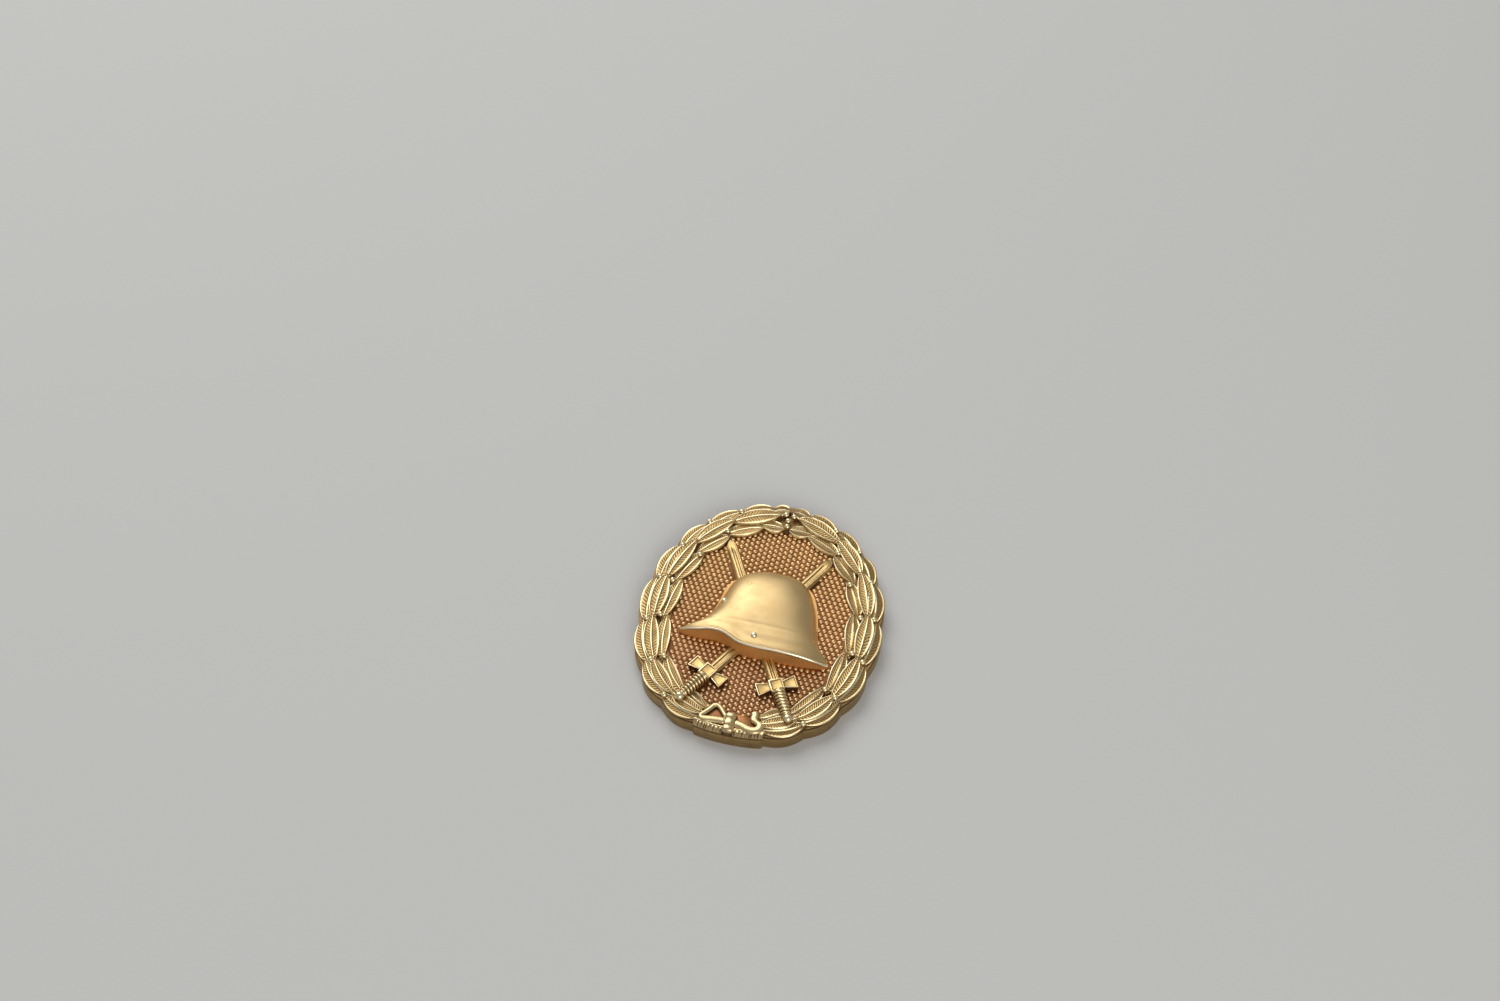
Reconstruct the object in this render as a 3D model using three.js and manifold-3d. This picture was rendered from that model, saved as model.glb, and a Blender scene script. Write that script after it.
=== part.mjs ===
// Oval pin-back badge of struck brass: a helmet over two crossed swords on a flat field, inside a
// laurel wreath tied with a bow. The shell is hollow behind, and its pin hinges inside the hollow.
// Millimetres. The front looks up, the rim of the shell lies on z = 0, and +Y points to the wreath's top.

import * as THREE from 'three';
import { mergeVertices } from 'three/addons/utils/BufferGeometryUtils.js';
import Module from 'manifold-3d';

const wasm = await Module();
wasm.setup();

// Driving dimensions of the shell
const BADGE_HEIGHT = 44;
const BADGE_WIDTH = 37.5;
const LEAF_SWELL = 0.5; // how far each leaf group swells past the plain oval
const FOOT_FULLNESS = 2.3; // power of the oval's lower half, where 2 is an ellipse
const SHELL_DEPTH = 2.3; // rim to field
const SHEET = 0.4; // thickness of the field
const RIM_WIDTH = 0.8;
// Beading of the field, coarser than on the badge itself
const GRAIN_SPACING = 1.32;
const GRAIN_RADIUS = 0.4;
const GRAIN_HEIGHT = 0.25;

// Wreath
const BAND_WIDTH = 5.3;
const FOOT_BAND_WIDTH = 4.3;
// Rows of leaves, from the inside out. Angles are degrees from the foot, where each leaf of the row ends.
const LEAF_ANGLES = [
  [27, 55.5, 80, 101.5, 123, 142, 164, 177.5],
  [32, 55, 79.7, 100.5, 125.5, 148.5, 174],
  [34, 56, 78, 98, 118, 135, 153.5, 170, 178.5],
];
const ROW_OFFSETS = [-3.95, -2.2, -0.75]; // middle of each row, out from the plain oval
const ROW_EDGES = [0.6, 0.95, 0.6]; // height of the leaves' edges above the field
const ROW_SLOPES = [-0.11, 0, -0.22]; // rise of a leaf from one edge to the other, per millimetre
const LEAF_LAP = 1.3; // degrees that each leaf reaches past its ends, under or over its neighbours
const LEAF_HALF_WIDTH = 1.35;
const LEAF_CROWN = 0.4; // rise of a leaf's midrib above its edges
const LEAF_LIFT = 0.1; // how much higher a leaf's tip lies than its middle, and its base lower
const WREATH_BASE = 0.25; // thickness of the band that carries the leaves
const BERRY_RADIUS = 0.47;
const BERRY_LIFT = 0.95; // centre of a berry above the field
// Berries between the leaves, inner ones and outer ones: degrees from the foot, and out from the plain oval
const BERRY_ANGLES = [[55.4, 81, 99.7, 121, 143], [34, 56, 79, 99.3, 119.2, 137.3, 154]];
const BERRY_OFFSETS = [[-3.5, -3.1, -3.2, -4.3, -3.5], [-0.6, -1.5, -1.1, -1.1, -1.05, -0.45, -0.8]];
const TOP_BERRIES = [[-0.7, 2.3], [0.6, 2.4], [-0.15, 3.4], [-0.05, 4.5]]; // X, and down from the badge's top

// Bow, with outlines in X and height above the foot of the badge
const BOW_HALF_WIDTH = 5.1;
const BOW_TOP = 4.9;
const BOW_HEIGHT = 1.1; // above the field
const LEFT_LOOP = [[-0.6, 1.4], [-4.4, 1.4], [-4.8, 1.9], [-4.5, 2.3], [-2.9, 4.8], [-2.3, 4.8], [-0.6, 3.2]];
const LEFT_PANEL = [[-1, 2.4], [-3.6, 2.4], [-2.6, 4], [-1, 2.8]];
const RIGHT_LOOP = [[0.6, 1.7], [3.4, 1.3], [4.5, 1.8], [4.6, 2.7], [3.8, 3.4], [3.7, 4.6], [2.9, 4.7], [2.8, 3.9],
  [0.6, 4]];
const RIGHT_PANEL = [[1, 2.4], [2.8, 2.2], [2.9, 3.5], [1, 3.6]];
const KNOT_HALF_WIDTH = 0.75;
const KNOT_WRAPS = 4;
const WRAP_FULLNESS = 1.1; // width of a wrap for the room that it has
const WRAP_DROP = 0.22; // middle of a wrap below the bow's top
const KNOT_LENGTH = 3.9;
const SKIRT_LENGTH = 1.15; // the pleated ribbon ends below the loops
const SKIRT_PLEATS = 9;
const SKIRT_HEIGHT = 0.65;
const SKIRT_FOOT = 0.25;
const PLEAT_DEPTH = 0.18;

// Swords, measured along each from the point where they cross
const SWORD_ANGLE = 28.2; // degrees from upright
const CROSSING_Y = -2.3;
const TIP_CLEARANCE = 0.3; // from the point of a blade to the wreath's band
const POINT_LENGTH = 2.2;
const BLADE_HALF_WIDTH = 0.92;
const BLADE_HEIGHT = 0.95;
const FULLER_HALF_WIDTH = 0.3;
const FULLER_DEPTH = 0.16;
const GUARD_REACH = 11.2;
const GUARD_BLOCK = 2.1;
const GUARD_HALF_SPAN = 3.1;
const GUARD_NECK = 1.2;
const GUARD_FLARE = 2.3;
const GUARD_HEIGHT = 1.2;
const BLOCK_HEIGHT = 1.45;
const POMMEL_REACH = 17.5;
const POMMEL_RADIUS = 0.75;
const GRIP_RADIUS = 0.78;
const GRIP_RIB = 0.1;
const GRIP_RIBS = 8;
const GRIP_LIFT = 1.05; // axis of the grip above the field
const HILT_SEAT = 0.4; // floor of the pocket in the wreath, above the field

// Helmet, seen three-quarters from its left, with its brow towards -X
const HELMET_WALL = 0.5;
const HELMET_RISE = 3.6; // dome above the field
const HELMET_RIM = 3.2; // lower edge above the field
const HELMET_TIP_RISE = 0.5; // both ends of the lower edge above the field
const HELMET_EDGE = 0.45; // upright edge all round the dome
const HELMET_FLARE = 0.28; // hollow of the skirt above the lower edge
const HELMET_CENTRE = [0.8, -2.5];
const HELMET_HALF_LENGTH = 11.8;
const SKIRT_BREAK = [-3.4, -5.6]; // where the dome starts to turn into the skirt, and where it has turned
const HELMET_OUTLINE = [[11.9, -6.6], [10.2, -7.2], [7.5, -7.5], [3.5, -7.6], [0, -7.6], [-2.1, -7.3],
  [-3.5, -6.6], [-5, -6], [-6.8, -5.85], [-8.8, -6], [-11.6, -5.5], [-9.8, -4.3], [-8.4, -2.9], [-7.5, -1],
  [-6.9, 1.4], [-6.4, 4.4], [-4.2, 7], [-1.5, 8], [1.4, 8.3], [4.5, 7.8], [6.9, 5.8], [8.2, 2.8], [9, -0.4],
  [9.6, -3], [10.6, -4.9]]; // from the rear tip, by the lower edge
const LUG_RADIUS = 0.55;
const SIDE_LUG = [0.1, -5.4];
const BROW_LUG = [-5.9, 0.5];
const LUG_SINK = 0.4; // how deep a lug's ball sits below the helmet's surface, of its radius

// Pin, hinge and catch, in the hollow behind the field
const HINGE_Y = 12.5;
const CATCH_Y = -12.5;
const PIN_AXIS_Z = 0.8;
const NEEDLE_RADIUS = 0.5;
const NEEDLE_CATCH_RADIUS = 0.4;
const NEEDLE_OVERHANG = 2.4; // past the catch
const NEEDLE_POINT = 0.08;
const EYE_RADIUS = 0.62;
const EYE_WIDTH = 1.3;
const RIVET_RADIUS = 0.26;
const RIVET_HEAD_RADIUS = 0.45;
const RIVET_HEAD = 0.2;
const BRACKET_SHEET = 0.3;
const BRACKET_HALF_LENGTH = 1.3;
const EAR_RADIUS = 0.68;
const STOP_REACH = 0.95; // from the hinge axis to the stop wall behind it
const STOP_DROP = 0.45; // how far the stop wall reaches past the hinge axis
const CATCH_PLATE_RADIUS = 2.2;
const CATCH_PLATE_SHEET = 0.3;
const HOOK_SHEET = 0.25;
const HOOK_WIDTH = 1.6;
const HOOK_END = 205; // degrees, where the lip stops beside the needle's way out

// Clearances
const RUNNING_GAP = 0.04; // round the rivet
const SIDE_GAP = 0.1; // beside the eye and in the hook
const SEAT_GAP = 0.25; // between pieces that are let into each other
const OVERCUT = 1; // how far a cutting shape reaches past what it cuts

const FIELD_Z = SHELL_DEPTH;
const OVAL_HALF_WIDTH = BADGE_WIDTH / 2 - LEAF_SWELL;
const OVAL_HALF_HEIGHT = BADGE_HEIGHT / 2 - LEAF_SWELL;
const TIP_REACH = reachOfBand() - TIP_CLEARANCE;
const HOLLOW_TOP = SHELL_DEPTH - SHEET;
const ABOVE_ALL = FIELD_Z + 2 * HELMET_RISE;
const BOW_SHARE = BOW_HALF_WIDTH / (OVAL_HALF_WIDTH + LEAF_SWELL);
const BOW_ANGLE = THREE.MathUtils.radToDeg(Math.asin(BOW_SHARE ** (FOOT_FULLNESS / 2)));

const radians = THREE.MathUtils.degToRad;
const lerp = THREE.MathUtils.lerp;

// From the crossing, along a blade, to the inner edge of the wreath's band
function reachOfBand() {
  const across = Math.sin(THREE.MathUtils.degToRad(SWORD_ANGLE)) / (OVAL_HALF_WIDTH + LEAF_SWELL - BAND_WIDTH);
  const halfHeight = OVAL_HALF_HEIGHT + LEAF_SWELL - BAND_WIDTH;
  const up = Math.cos(THREE.MathUtils.degToRad(SWORD_ANGLE)) / halfHeight;
  const start = CROSSING_Y / halfHeight;
  const square = across ** 2 + up ** 2;
  const root = Math.sqrt((up * start) ** 2 - square * (start ** 2 - 1));
  return (root - up * start) / square;
}

// A closed mesh as a solid that can be joined and cut
function solidOf(geometry) {
  const bare = geometry.clone();
  bare.deleteAttribute('normal');
  bare.deleteAttribute('uv');
  const merged = mergeVertices(bare, 1e-4);
  const vertProperties = new Float32Array(merged.attributes.position.array);
  const triVerts = new Uint32Array(withoutSlivers(merged.index.array));
  return new wasm.Manifold(new wasm.Mesh({ numProp: 3, vertProperties, triVerts }));
}

// Triangles whose three corners differ
function withoutSlivers(index) {
  const kept = [];
  for (let i = 0; i < index.length; i += 3) {
    const [a, b, c] = [index[i], index[i + 1], index[i + 2]];
    if (a !== b && b !== c && c !== a) kept.push(a, b, c);
  }
  return kept;
}

function geometryOf(solid) {
  const mesh = solid.getMesh();
  const geometry = new THREE.BufferGeometry();
  geometry.setAttribute('position', new THREE.BufferAttribute(mesh.vertProperties, 3));
  geometry.setIndex(new THREE.BufferAttribute(mesh.triVerts, 1));
  return geometry;
}

function joined(solids) {
  return solids.reduce((whole, solid) => whole.add(solid));
}

// Six times the signed volume of an indexed mesh
function signedVolume(points, index) {
  let sum = 0;
  for (let i = 0; i < index.length; i += 3) {
    const [a, b, c] = [points[index[i]], points[index[i + 1]], points[index[i + 2]]];
    sum += a.dot(new THREE.Vector3().crossVectors(b, c));
  }
  return sum;
}

// A skin over rings of equally many points, closed at both ends and facing out
function skin(rings) {
  const count = rings[0].length;
  const points = rings.flat();
  const index = [];
  for (let r = 0; r + 1 < rings.length; r++) {
    for (let j = 0; j < count; j++) {
      const next = (j + 1) % count;
      const [a, b] = [r * count + j, r * count + next];
      index.push(a, b, b + count, a, b + count, a + count);
    }
  }
  [rings[0], rings[rings.length - 1]].forEach((ring, end) => {
    const middle = ring.reduce((sum, p) => sum.add(p), new THREE.Vector3()).divideScalar(count);
    const first = end ? (rings.length - 1) * count : 0;
    for (let j = 0; j < count; j++) {
      const [a, b] = [first + j, first + ((j + 1) % count)];
      index.push(...(end ? [a, b, points.length] : [b, a, points.length]));
    }
    points.push(middle);
  });
  if (signedVolume(points, index) < 0) index.reverse();
  const geometry = new THREE.BufferGeometry().setFromPoints(points);
  geometry.setIndex(index);
  return geometry;
}

function prism(outline, low, high) {
  const geometry = new THREE.ExtrudeGeometry(new THREE.Shape(outline), { depth: high - low, bevelEnabled: false });
  return geometry.translate(0, 0, low);
}

function block(xLow, xHigh, yLow, yHigh, zLow, zHigh) {
  const geometry = new THREE.BoxGeometry(xHigh - xLow, yHigh - yLow, zHigh - zLow);
  return geometry.translate((xLow + xHigh) / 2, (yLow + yHigh) / 2, (zLow + zHigh) / 2);
}

// A rod along X, centred on the origin
function crossRod(radius, length, sides = 16) {
  return new THREE.CylinderGeometry(radius, radius, length, sides).rotateZ(Math.PI / 2);
}

// A point of the oval: degrees from the foot, side 1 right or -1 left, offset out from the plain oval
function ovalPoint(angle, side, offset) {
  const [sine, cosine] = [Math.sin(radians(angle)), Math.cos(radians(angle))];
  const power = cosine > 0 ? 2 / FOOT_FULLNESS : 1;
  const x = side * (OVAL_HALF_WIDTH + offset) * sine ** power;
  const y = -(OVAL_HALF_HEIGHT + offset) * Math.sign(cosine) * Math.abs(cosine) ** power;
  return new THREE.Vector2(x, y);
}

// The wreath narrows towards the foot
function bandScale(angle) {
  return lerp(1, FOOT_BAND_WIDTH / BAND_WIDTH, Math.max(Math.cos(radians(angle)), 0));
}

// Angle and swell along one side of the outline, from the foot to the top. It swells with each outer leaf.
function outlineSamples() {
  const steps = 5;
  const outer = LEAF_ANGLES[LEAF_ANGLES.length - 1];
  const ends = [BOW_ANGLE, ...outer.slice(0, -1), 180];
  const last = ends.length - 2;
  const samples = [0, 0.5, 1].map((t) => [t * BOW_ANGLE, LEAF_SWELL]);
  for (let g = 0; g <= last; g++) {
    const quarter = g === last ? 0.5 : 1; // the two top leaves share one swell
    for (let i = 0; i < steps; i++) {
      const t = i / steps;
      samples.push([lerp(ends[g], ends[g + 1], t), LEAF_SWELL * Math.sin(Math.PI * quarter * t)]);
    }
  }
  samples.push([180, LEAF_SWELL]);
  return samples;
}

// A closed oval whose offset from the plain oval is worked out from each sample's angle and swell
function ovalLoop(offsetAt) {
  const samples = outlineSamples();
  const place = (side) => ([angle, swell]) => ovalPoint(angle, side, offsetAt(angle, swell));
  return [...samples.map(place(1)), ...samples.slice(1, -1).reverse().map(place(-1))];
}

// The badge's outline, drawn in by an inset
function outline(inset = 0) {
  return ovalLoop((angle, swell) => swell - inset);
}

// Whether a point lies inside a closed outline
function inside(outlinePoints, x, y) {
  let within = false;
  outlinePoints.forEach((a, i) => {
    const b = outlinePoints[(i + 1) % outlinePoints.length];
    const crosses = a.y > y !== b.y > y;
    if (crosses && x < ((b.x - a.x) * (y - a.y)) / (b.y - a.y) + a.x) within = !within;
  });
  return within;
}

// Whether a grain here would touch a sword
function onAnySword(x, y, clear) {
  return [-1, 1].some((side) => {
    const p = new THREE.Vector3(x, y - CROSSING_Y, 0);
    p.applyAxisAngle(new THREE.Vector3(0, 0, 1), -radians(side * SWORD_ANGLE));
    const atGuard = Math.abs(p.y + GUARD_REACH) < GUARD_FLARE / 2 + clear;
    return Math.abs(p.x) < (atGuard ? GUARD_HALF_SPAN : BLADE_HALF_WIDTH) + clear;
  });
}

// Places of the grains, in staggered rows over the open field
function grainPlaces() {
  const clear = GRAIN_RADIUS + SEAT_GAP;
  const opening = ovalLoop((angle) => (ROW_OFFSETS[0] - LEAF_HALF_WIDTH) * bandScale(angle) - clear);
  const middle = new THREE.Vector3(HELMET_CENTRE[0], HELMET_CENTRE[1], 0);
  const covered = helmetOutline().map((p) => p.clone().lerp(middle, -clear / p.distanceTo(middle)));
  const rowStep = (GRAIN_SPACING * Math.sqrt(3)) / 2;
  const reach = Math.ceil(OVAL_HALF_HEIGHT / rowStep);
  const places = [];
  for (let row = -reach; row <= reach; row++) {
    for (let column = -reach; column <= reach; column++) {
      const x = (column + (row % 2 ? 0.5 : 0)) * GRAIN_SPACING;
      const y = row * rowStep;
      if (inside(opening, x, y) && !inside(covered, x, y) && !onAnySword(x, y, clear)) places.push([x, y]);
    }
  }
  return places;
}

// Low pointed grains in one body with the field
function grains() {
  const sunk = SHEET / 2;
  const foot = GRAIN_RADIUS * (1 + sunk / GRAIN_HEIGHT);
  const grain = new THREE.ConeGeometry(foot, GRAIN_HEIGHT + sunk, 4).rotateX(Math.PI / 2);
  grain.translate(0, 0, FIELD_Z + (GRAIN_HEIGHT - sunk) / 2);
  return grainPlaces().map(([x, y]) => solidOf(grain.clone().translate(x, y, 0)));
}

function shell() {
  const hollow = solidOf(prism(outline(RIM_WIDTH), -OVERCUT, HOLLOW_TOP));
  return joined([solidOf(prism(outline(), 0, SHELL_DEPTH)), ...grains()]).subtract(hollow);
}

// One pointed leaf of a row, with a raised midrib. It runs between two angles from the foot.
function leaf(side, row, from, to) {
  const sections = [0, 0.1, 0.3, 0.55, 0.8, 1];
  const rings = sections.map((t) => {
    const angle = lerp(from, to, t);
    const scale = bandScale(angle);
    const half = LEAF_HALF_WIDTH * scale * Math.sin(Math.PI * t ** 0.8) ** 0.75;
    const edge = ROW_EDGES[row] + LEAF_LIFT * (2 * t - 1);
    const slope = ROW_SLOPES[row] * half;
    const at = (across, rise) => {
      const p = ovalPoint(angle, side, ROW_OFFSETS[row] * scale + across);
      return new THREE.Vector3(p.x, p.y, FIELD_Z + rise);
    };
    const top = edge + LEAF_CROWN * Math.sin(Math.PI * t) ** 0.5;
    return [at(-half, 0), at(-half, edge - slope), at(0, top), at(half, edge + slope), at(half, 0)];
  });
  return solidOf(skin(rings));
}

// The leaves of one row on one side, lapped end over end from the bow to the top
function leafRow(side, row) {
  const stops = [BOW_ANGLE, ...LEAF_ANGLES[row]];
  return LEAF_ANGLES[row].map((end, i) => leaf(side, row, stops[i] - LEAF_LAP, end + LEAF_LAP));
}

// A half ball on a round stub that stands on the band
function berry(x, y) {
  const profile = [new THREE.Vector2(0, -BERRY_LIFT), new THREE.Vector2(BERRY_RADIUS, -BERRY_LIFT)];
  for (const share of [0, 0.33, 0.67]) {
    const turn = (share * Math.PI) / 2;
    profile.push(new THREE.Vector2(Math.cos(turn), Math.sin(turn)).multiplyScalar(BERRY_RADIUS));
  }
  profile.push(new THREE.Vector2(0, BERRY_RADIUS));
  const turned = new THREE.LatheGeometry(profile, 8).rotateX(Math.PI / 2);
  return solidOf(turned.translate(x, y, FIELD_Z + BERRY_LIFT));
}

function berries() {
  const beside = (side, row) => BERRY_ANGLES[row].map((angle, i) => {
    const p = ovalPoint(angle, side, BERRY_OFFSETS[row][i]);
    return berry(p.x, p.y);
  });
  const top = TOP_BERRIES.map(([x, down]) => berry(x, BADGE_HEIGHT / 2 - down));
  return [...top, ...[-1, 1].flatMap((side) => [...beside(side, 0), ...beside(side, 1)])];
}

// The inner edge of the band, which the inner leaves cover
function bandOpening() {
  return ovalLoop((angle) => (LEAF_SWELL - BAND_WIDTH) * bandScale(angle));
}

function wreath() {
  const band = solidOf(prism(outline(), FIELD_Z, FIELD_Z + WREATH_BASE));
  const opening = solidOf(prism(bandOpening(), FIELD_Z - OVERCUT, ABOVE_ALL));
  const leaves = [-1, 1].flatMap((side) => LEAF_ANGLES.flatMap((_, row) => leafRow(side, row)));
  const whole = joined([band.subtract(opening), ...leaves, ...berries()]);
  const trimmed = whole.intersect(solidOf(prism(outline(), FIELD_Z - OVERCUT, ABOVE_ALL)));
  const cuts = [bowWindow(), hiltPocket(-1), hiltPocket(1), tipPocket(-1), tipPocket(1)];
  return cuts.reduce((rest, cut) => rest.subtract(cut), trimmed);
}

// The gap in the wreath that the bow fills
function bowWindow() {
  const half = BOW_HALF_WIDTH + SEAT_GAP;
  const top = BOW_TOP + SEAT_GAP - BADGE_HEIGHT / 2;
  return solidOf(block(-half, half, -BADGE_HEIGHT, top, FIELD_Z - OVERCUT, ABOVE_ALL));
}

// An outline given in X and height above the foot of the badge
function onFoot(corners) {
  return corners.map(([x, y]) => new THREE.Vector2(x, y - BADGE_HEIGHT / 2));
}

// One bow loop: a ribbon bent round a panel that lies lower
function bowLoop(loop, panel) {
  const ring = solidOf(prism(onFoot(loop), FIELD_Z, FIELD_Z + BOW_HEIGHT));
  return ring.subtract(solidOf(prism(onFoot(panel), FIELD_Z + BOW_HEIGHT / 2, ABOVE_ALL)));
}

// The pleated ribbon end under a loop, falling away to the rim
function bowSkirt(side) {
  const foot = -BADGE_HEIGHT / 2;
  const [near, far] = [KNOT_HALF_WIDTH - 0.1, BOW_HALF_WIDTH];
  const rings = [];
  for (let i = 0; i <= 2 * SKIRT_PLEATS; i++) {
    const x = side * lerp(near, far, i / (2 * SKIRT_PLEATS));
    const drop = i % 2 ? 0 : PLEAT_DEPTH;
    const at = (y, rise) => new THREE.Vector3(x, foot + y, FIELD_Z + rise);
    rings.push([at(-OVERCUT, 0), at(-OVERCUT, SKIRT_FOOT - drop), at(0, SKIRT_FOOT - drop),
      at(SKIRT_LENGTH + 0.3, SKIRT_HEIGHT - drop), at(SKIRT_LENGTH + 0.3, 0)]);
  }
  return solidOf(skin(rings));
}

// Ribbon wrapped round the middle of the bow
function bowKnot() {
  const pitch = KNOT_LENGTH / KNOT_WRAPS;
  const foot = -BADGE_HEIGHT / 2;
  const half = KNOT_HALF_WIDTH - SKIRT_FOOT;
  const top = FIELD_Z + BOW_HEIGHT;
  const body = block(-half, half, foot - OVERCUT, foot + KNOT_LENGTH - pitch / 2, FIELD_Z, top);
  const radius = (pitch / 2) * WRAP_FULLNESS;
  const wraps = [];
  for (let i = 0; i < KNOT_WRAPS; i++) {
    const wrap = crossRod(radius, 2 * KNOT_HALF_WIDTH);
    wraps.push(solidOf(wrap.translate(0, foot + (i + 0.5) * pitch, top - WRAP_DROP)));
  }
  return joined([solidOf(body), ...wraps]);
}

function ribbonBow() {
  const loops = [bowLoop(LEFT_LOOP, LEFT_PANEL), bowLoop(RIGHT_LOOP, RIGHT_PANEL)];
  return joined([bowKnot(), ...loops, bowSkirt(-1), bowSkirt(1)]).intersect(solidOf(prism(outline(), FIELD_Z - OVERCUT, ABOVE_ALL)));
}

// Blade section with a fuller: half width and height are scaled towards the point
function bladeRing(along, scale) {
  const [w, h, f] = [BLADE_HALF_WIDTH * scale, BLADE_HEIGHT * lerp(0.5, 1, scale), FULLER_HALF_WIDTH * scale];
  const shoulder = f * 1.7;
  const corners = [[-w, 0], [-w, h * 0.55], [-shoulder, h], [-f, h - FULLER_DEPTH * scale],
    [f, h - FULLER_DEPTH * scale], [shoulder, h], [w, h * 0.55], [w, 0]];
  return corners.map(([x, z]) => new THREE.Vector3(x, along, z));
}

function blade() {
  const start = -GUARD_REACH;
  const shoulder = TIP_REACH - POINT_LENGTH;
  const rings = [bladeRing(start, 1), bladeRing(shoulder, 0.9), bladeRing(TIP_REACH, 0.04)];
  return solidOf(skin(rings));
}

// Square block with a flared arm on each side
function guard() {
  const half = GUARD_BLOCK / 2;
  const arm = (side) => {
    const corners = [[half - 0.3, -GUARD_NECK / 2], [GUARD_HALF_SPAN, -GUARD_FLARE / 2],
      [GUARD_HALF_SPAN, GUARD_FLARE / 2], [half - 0.3, GUARD_NECK / 2]];
    const placed = corners.map(([x, y]) => new THREE.Vector2(side * x, y - GUARD_REACH));
    return solidOf(prism(placed, 0, GUARD_HEIGHT));
  };
  const body = block(-half, half, -GUARD_REACH - half, half - GUARD_REACH, 0, BLOCK_HEIGHT);
  return joined([solidOf(body), arm(-1), arm(1)]);
}

// Ribbed grip and round pommel, flat underneath
function hilt() {
  const length = POMMEL_REACH - GUARD_REACH;
  const profile = [new THREE.Vector2(0, 0)];
  for (let i = 0; i <= 2 * GRIP_RIBS; i++) {
    const radius = GRIP_RADIUS - (i % 2 ? 0 : GRIP_RIB);
    profile.push(new THREE.Vector2(radius, (length * i) / (2 * GRIP_RIBS)));
  }
  profile.push(new THREE.Vector2(0, length));
  const grip = new THREE.LatheGeometry(profile, 12).translate(0, -POMMEL_REACH, GRIP_LIFT);
  const pommel = new THREE.SphereGeometry(POMMEL_RADIUS, 12, 8).rotateY(Math.PI / 12);
  pommel.translate(0, -POMMEL_REACH, GRIP_LIFT);
  const half = POMMEL_RADIUS + OVERCUT;
  const keep = block(-half, half, -POMMEL_REACH - half, -GUARD_REACH, HILT_SEAT, GRIP_LIFT + half);
  return joined([solidOf(grip), solidOf(pommel)]).intersect(solidOf(keep));
}

// The strip of space that the other blade takes at the crossing, in this sword's frame
function crossingSlot(turn, low, high) {
  const half = BLADE_HALF_WIDTH + SEAT_GAP;
  const reach = 4 * half;
  return solidOf(block(-half, half, -reach, reach, low, high).rotateZ(radians(turn)));
}

// The blades are halved into each other where they cross under the helmet
function sword(side) {
  const whole = joined([blade(), guard(), hilt()]);
  const turn = 2 * side * SWORD_ANGLE;
  const lap = BLADE_HEIGHT / 2;
  return side < 0
    ? whole.subtract(crossingSlot(-turn, lap, BLADE_HEIGHT + OVERCUT))
    : whole.subtract(crossingSlot(-turn, -OVERCUT, lap));
}

// Turns a shape from the sword's frame to its place on the field
function onSword(geometry, side) {
  return geometry.rotateZ(radians(side * SWORD_ANGLE)).translate(0, CROSSING_Y, FIELD_Z);
}

// Pocket in the wreath under and beside a hilt
function hiltPocket(side) {
  const half = GRIP_RADIUS + SEAT_GAP;
  const low = -POMMEL_REACH - POMMEL_RADIUS - SEAT_GAP;
  return solidOf(onSword(block(-half, half, low, -GUARD_REACH, HILT_SEAT, ABOVE_ALL), side));
}

// Pocket in the wreath's inner edge round the point of a blade
function tipPocket(side) {
  const half = BLADE_HALF_WIDTH + SEAT_GAP;
  const [low, high] = [TIP_REACH - 2 * POINT_LENGTH, TIP_REACH + SEAT_GAP];
  return solidOf(onSword(block(-half, half, low, high, -OVERCUT, BLADE_HEIGHT + SEAT_GAP), side));
}

// The helmet's outline: rear tip, lower edge, brow tip and up round the dome
function helmetOutline() {
  const curve = new THREE.CatmullRomCurve3(HELMET_OUTLINE.map(([x, y]) => new THREE.Vector3(x, y, 0)), true);
  return curve.getPoints(2 * HELMET_OUTLINE.length).slice(0, -1);
}

// Height of the helmet above the field. Share runs from 0 in the middle to 1 at the outline.
function helmetHeight(point, share) {
  const lower = THREE.MathUtils.smoothstep(-point.y, -SKIRT_BREAK[0], -SKIRT_BREAK[1]);
  const fromMiddle = Math.min(Math.abs(point.x) / HELMET_HALF_LENGTH, 1);
  const edge = lerp(HELMET_TIP_RISE, HELMET_RIM, 1 - fromMiddle ** 4);
  const dome = HELMET_EDGE + (HELMET_RISE - HELMET_EDGE) * (1 - share ** 2.4) ** (1 / 2.4);
  const flare = HELMET_FLARE * (1 - fromMiddle ** 2);
  const hollow = flare * Math.sin(Math.PI * Math.min((1 - share) / 0.45, 1));
  const skirt = lerp(HELMET_RISE, edge, share ** 2) - hollow;
  return lerp(dome, skirt, lower);
}

// A helmet-shaped body: drawn in from the outline, and lowered all over
function helmetBody(inset, lowered) {
  const middle = new THREE.Vector3(HELMET_CENTRE[0], HELMET_CENTRE[1], 0);
  const edge = helmetOutline();
  const shares = [1, 0.93, 0.82, 0.66, 0.46, 0.24];
  const ringAt = (share, rise) => edge.map((p) => {
    const reach = p.distanceTo(middle);
    const at = middle.clone().lerp(p, share * (1 - inset / reach));
    at.z = FIELD_Z + rise(p);
    return at;
  });
  const rings = shares.map((share) => ringAt(share, (p) => helmetHeight(p, share) - lowered));
  const crown = edge.map(() => new THREE.Vector3(middle.x, middle.y, FIELD_Z + HELMET_RISE - lowered));
  const base = ringAt(1, () => (lowered ? -0.5 : 0));
  return solidOf(skin([base, ...rings, crown]));
}

// Height of the helmet over a place on the field
function helmetHeightAt(x, y) {
  const middle = new THREE.Vector3(HELMET_CENTRE[0], HELMET_CENTRE[1], 0);
  const towards = new THREE.Vector3(x, y, 0).sub(middle);
  const bearing = (p) => Math.abs(p.clone().sub(middle).angleTo(towards));
  const edge = helmetOutline().reduce((best, p) => (bearing(p) < bearing(best) ? p : best));
  return helmetHeight(edge, towards.length() / edge.distanceTo(middle));
}

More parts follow.
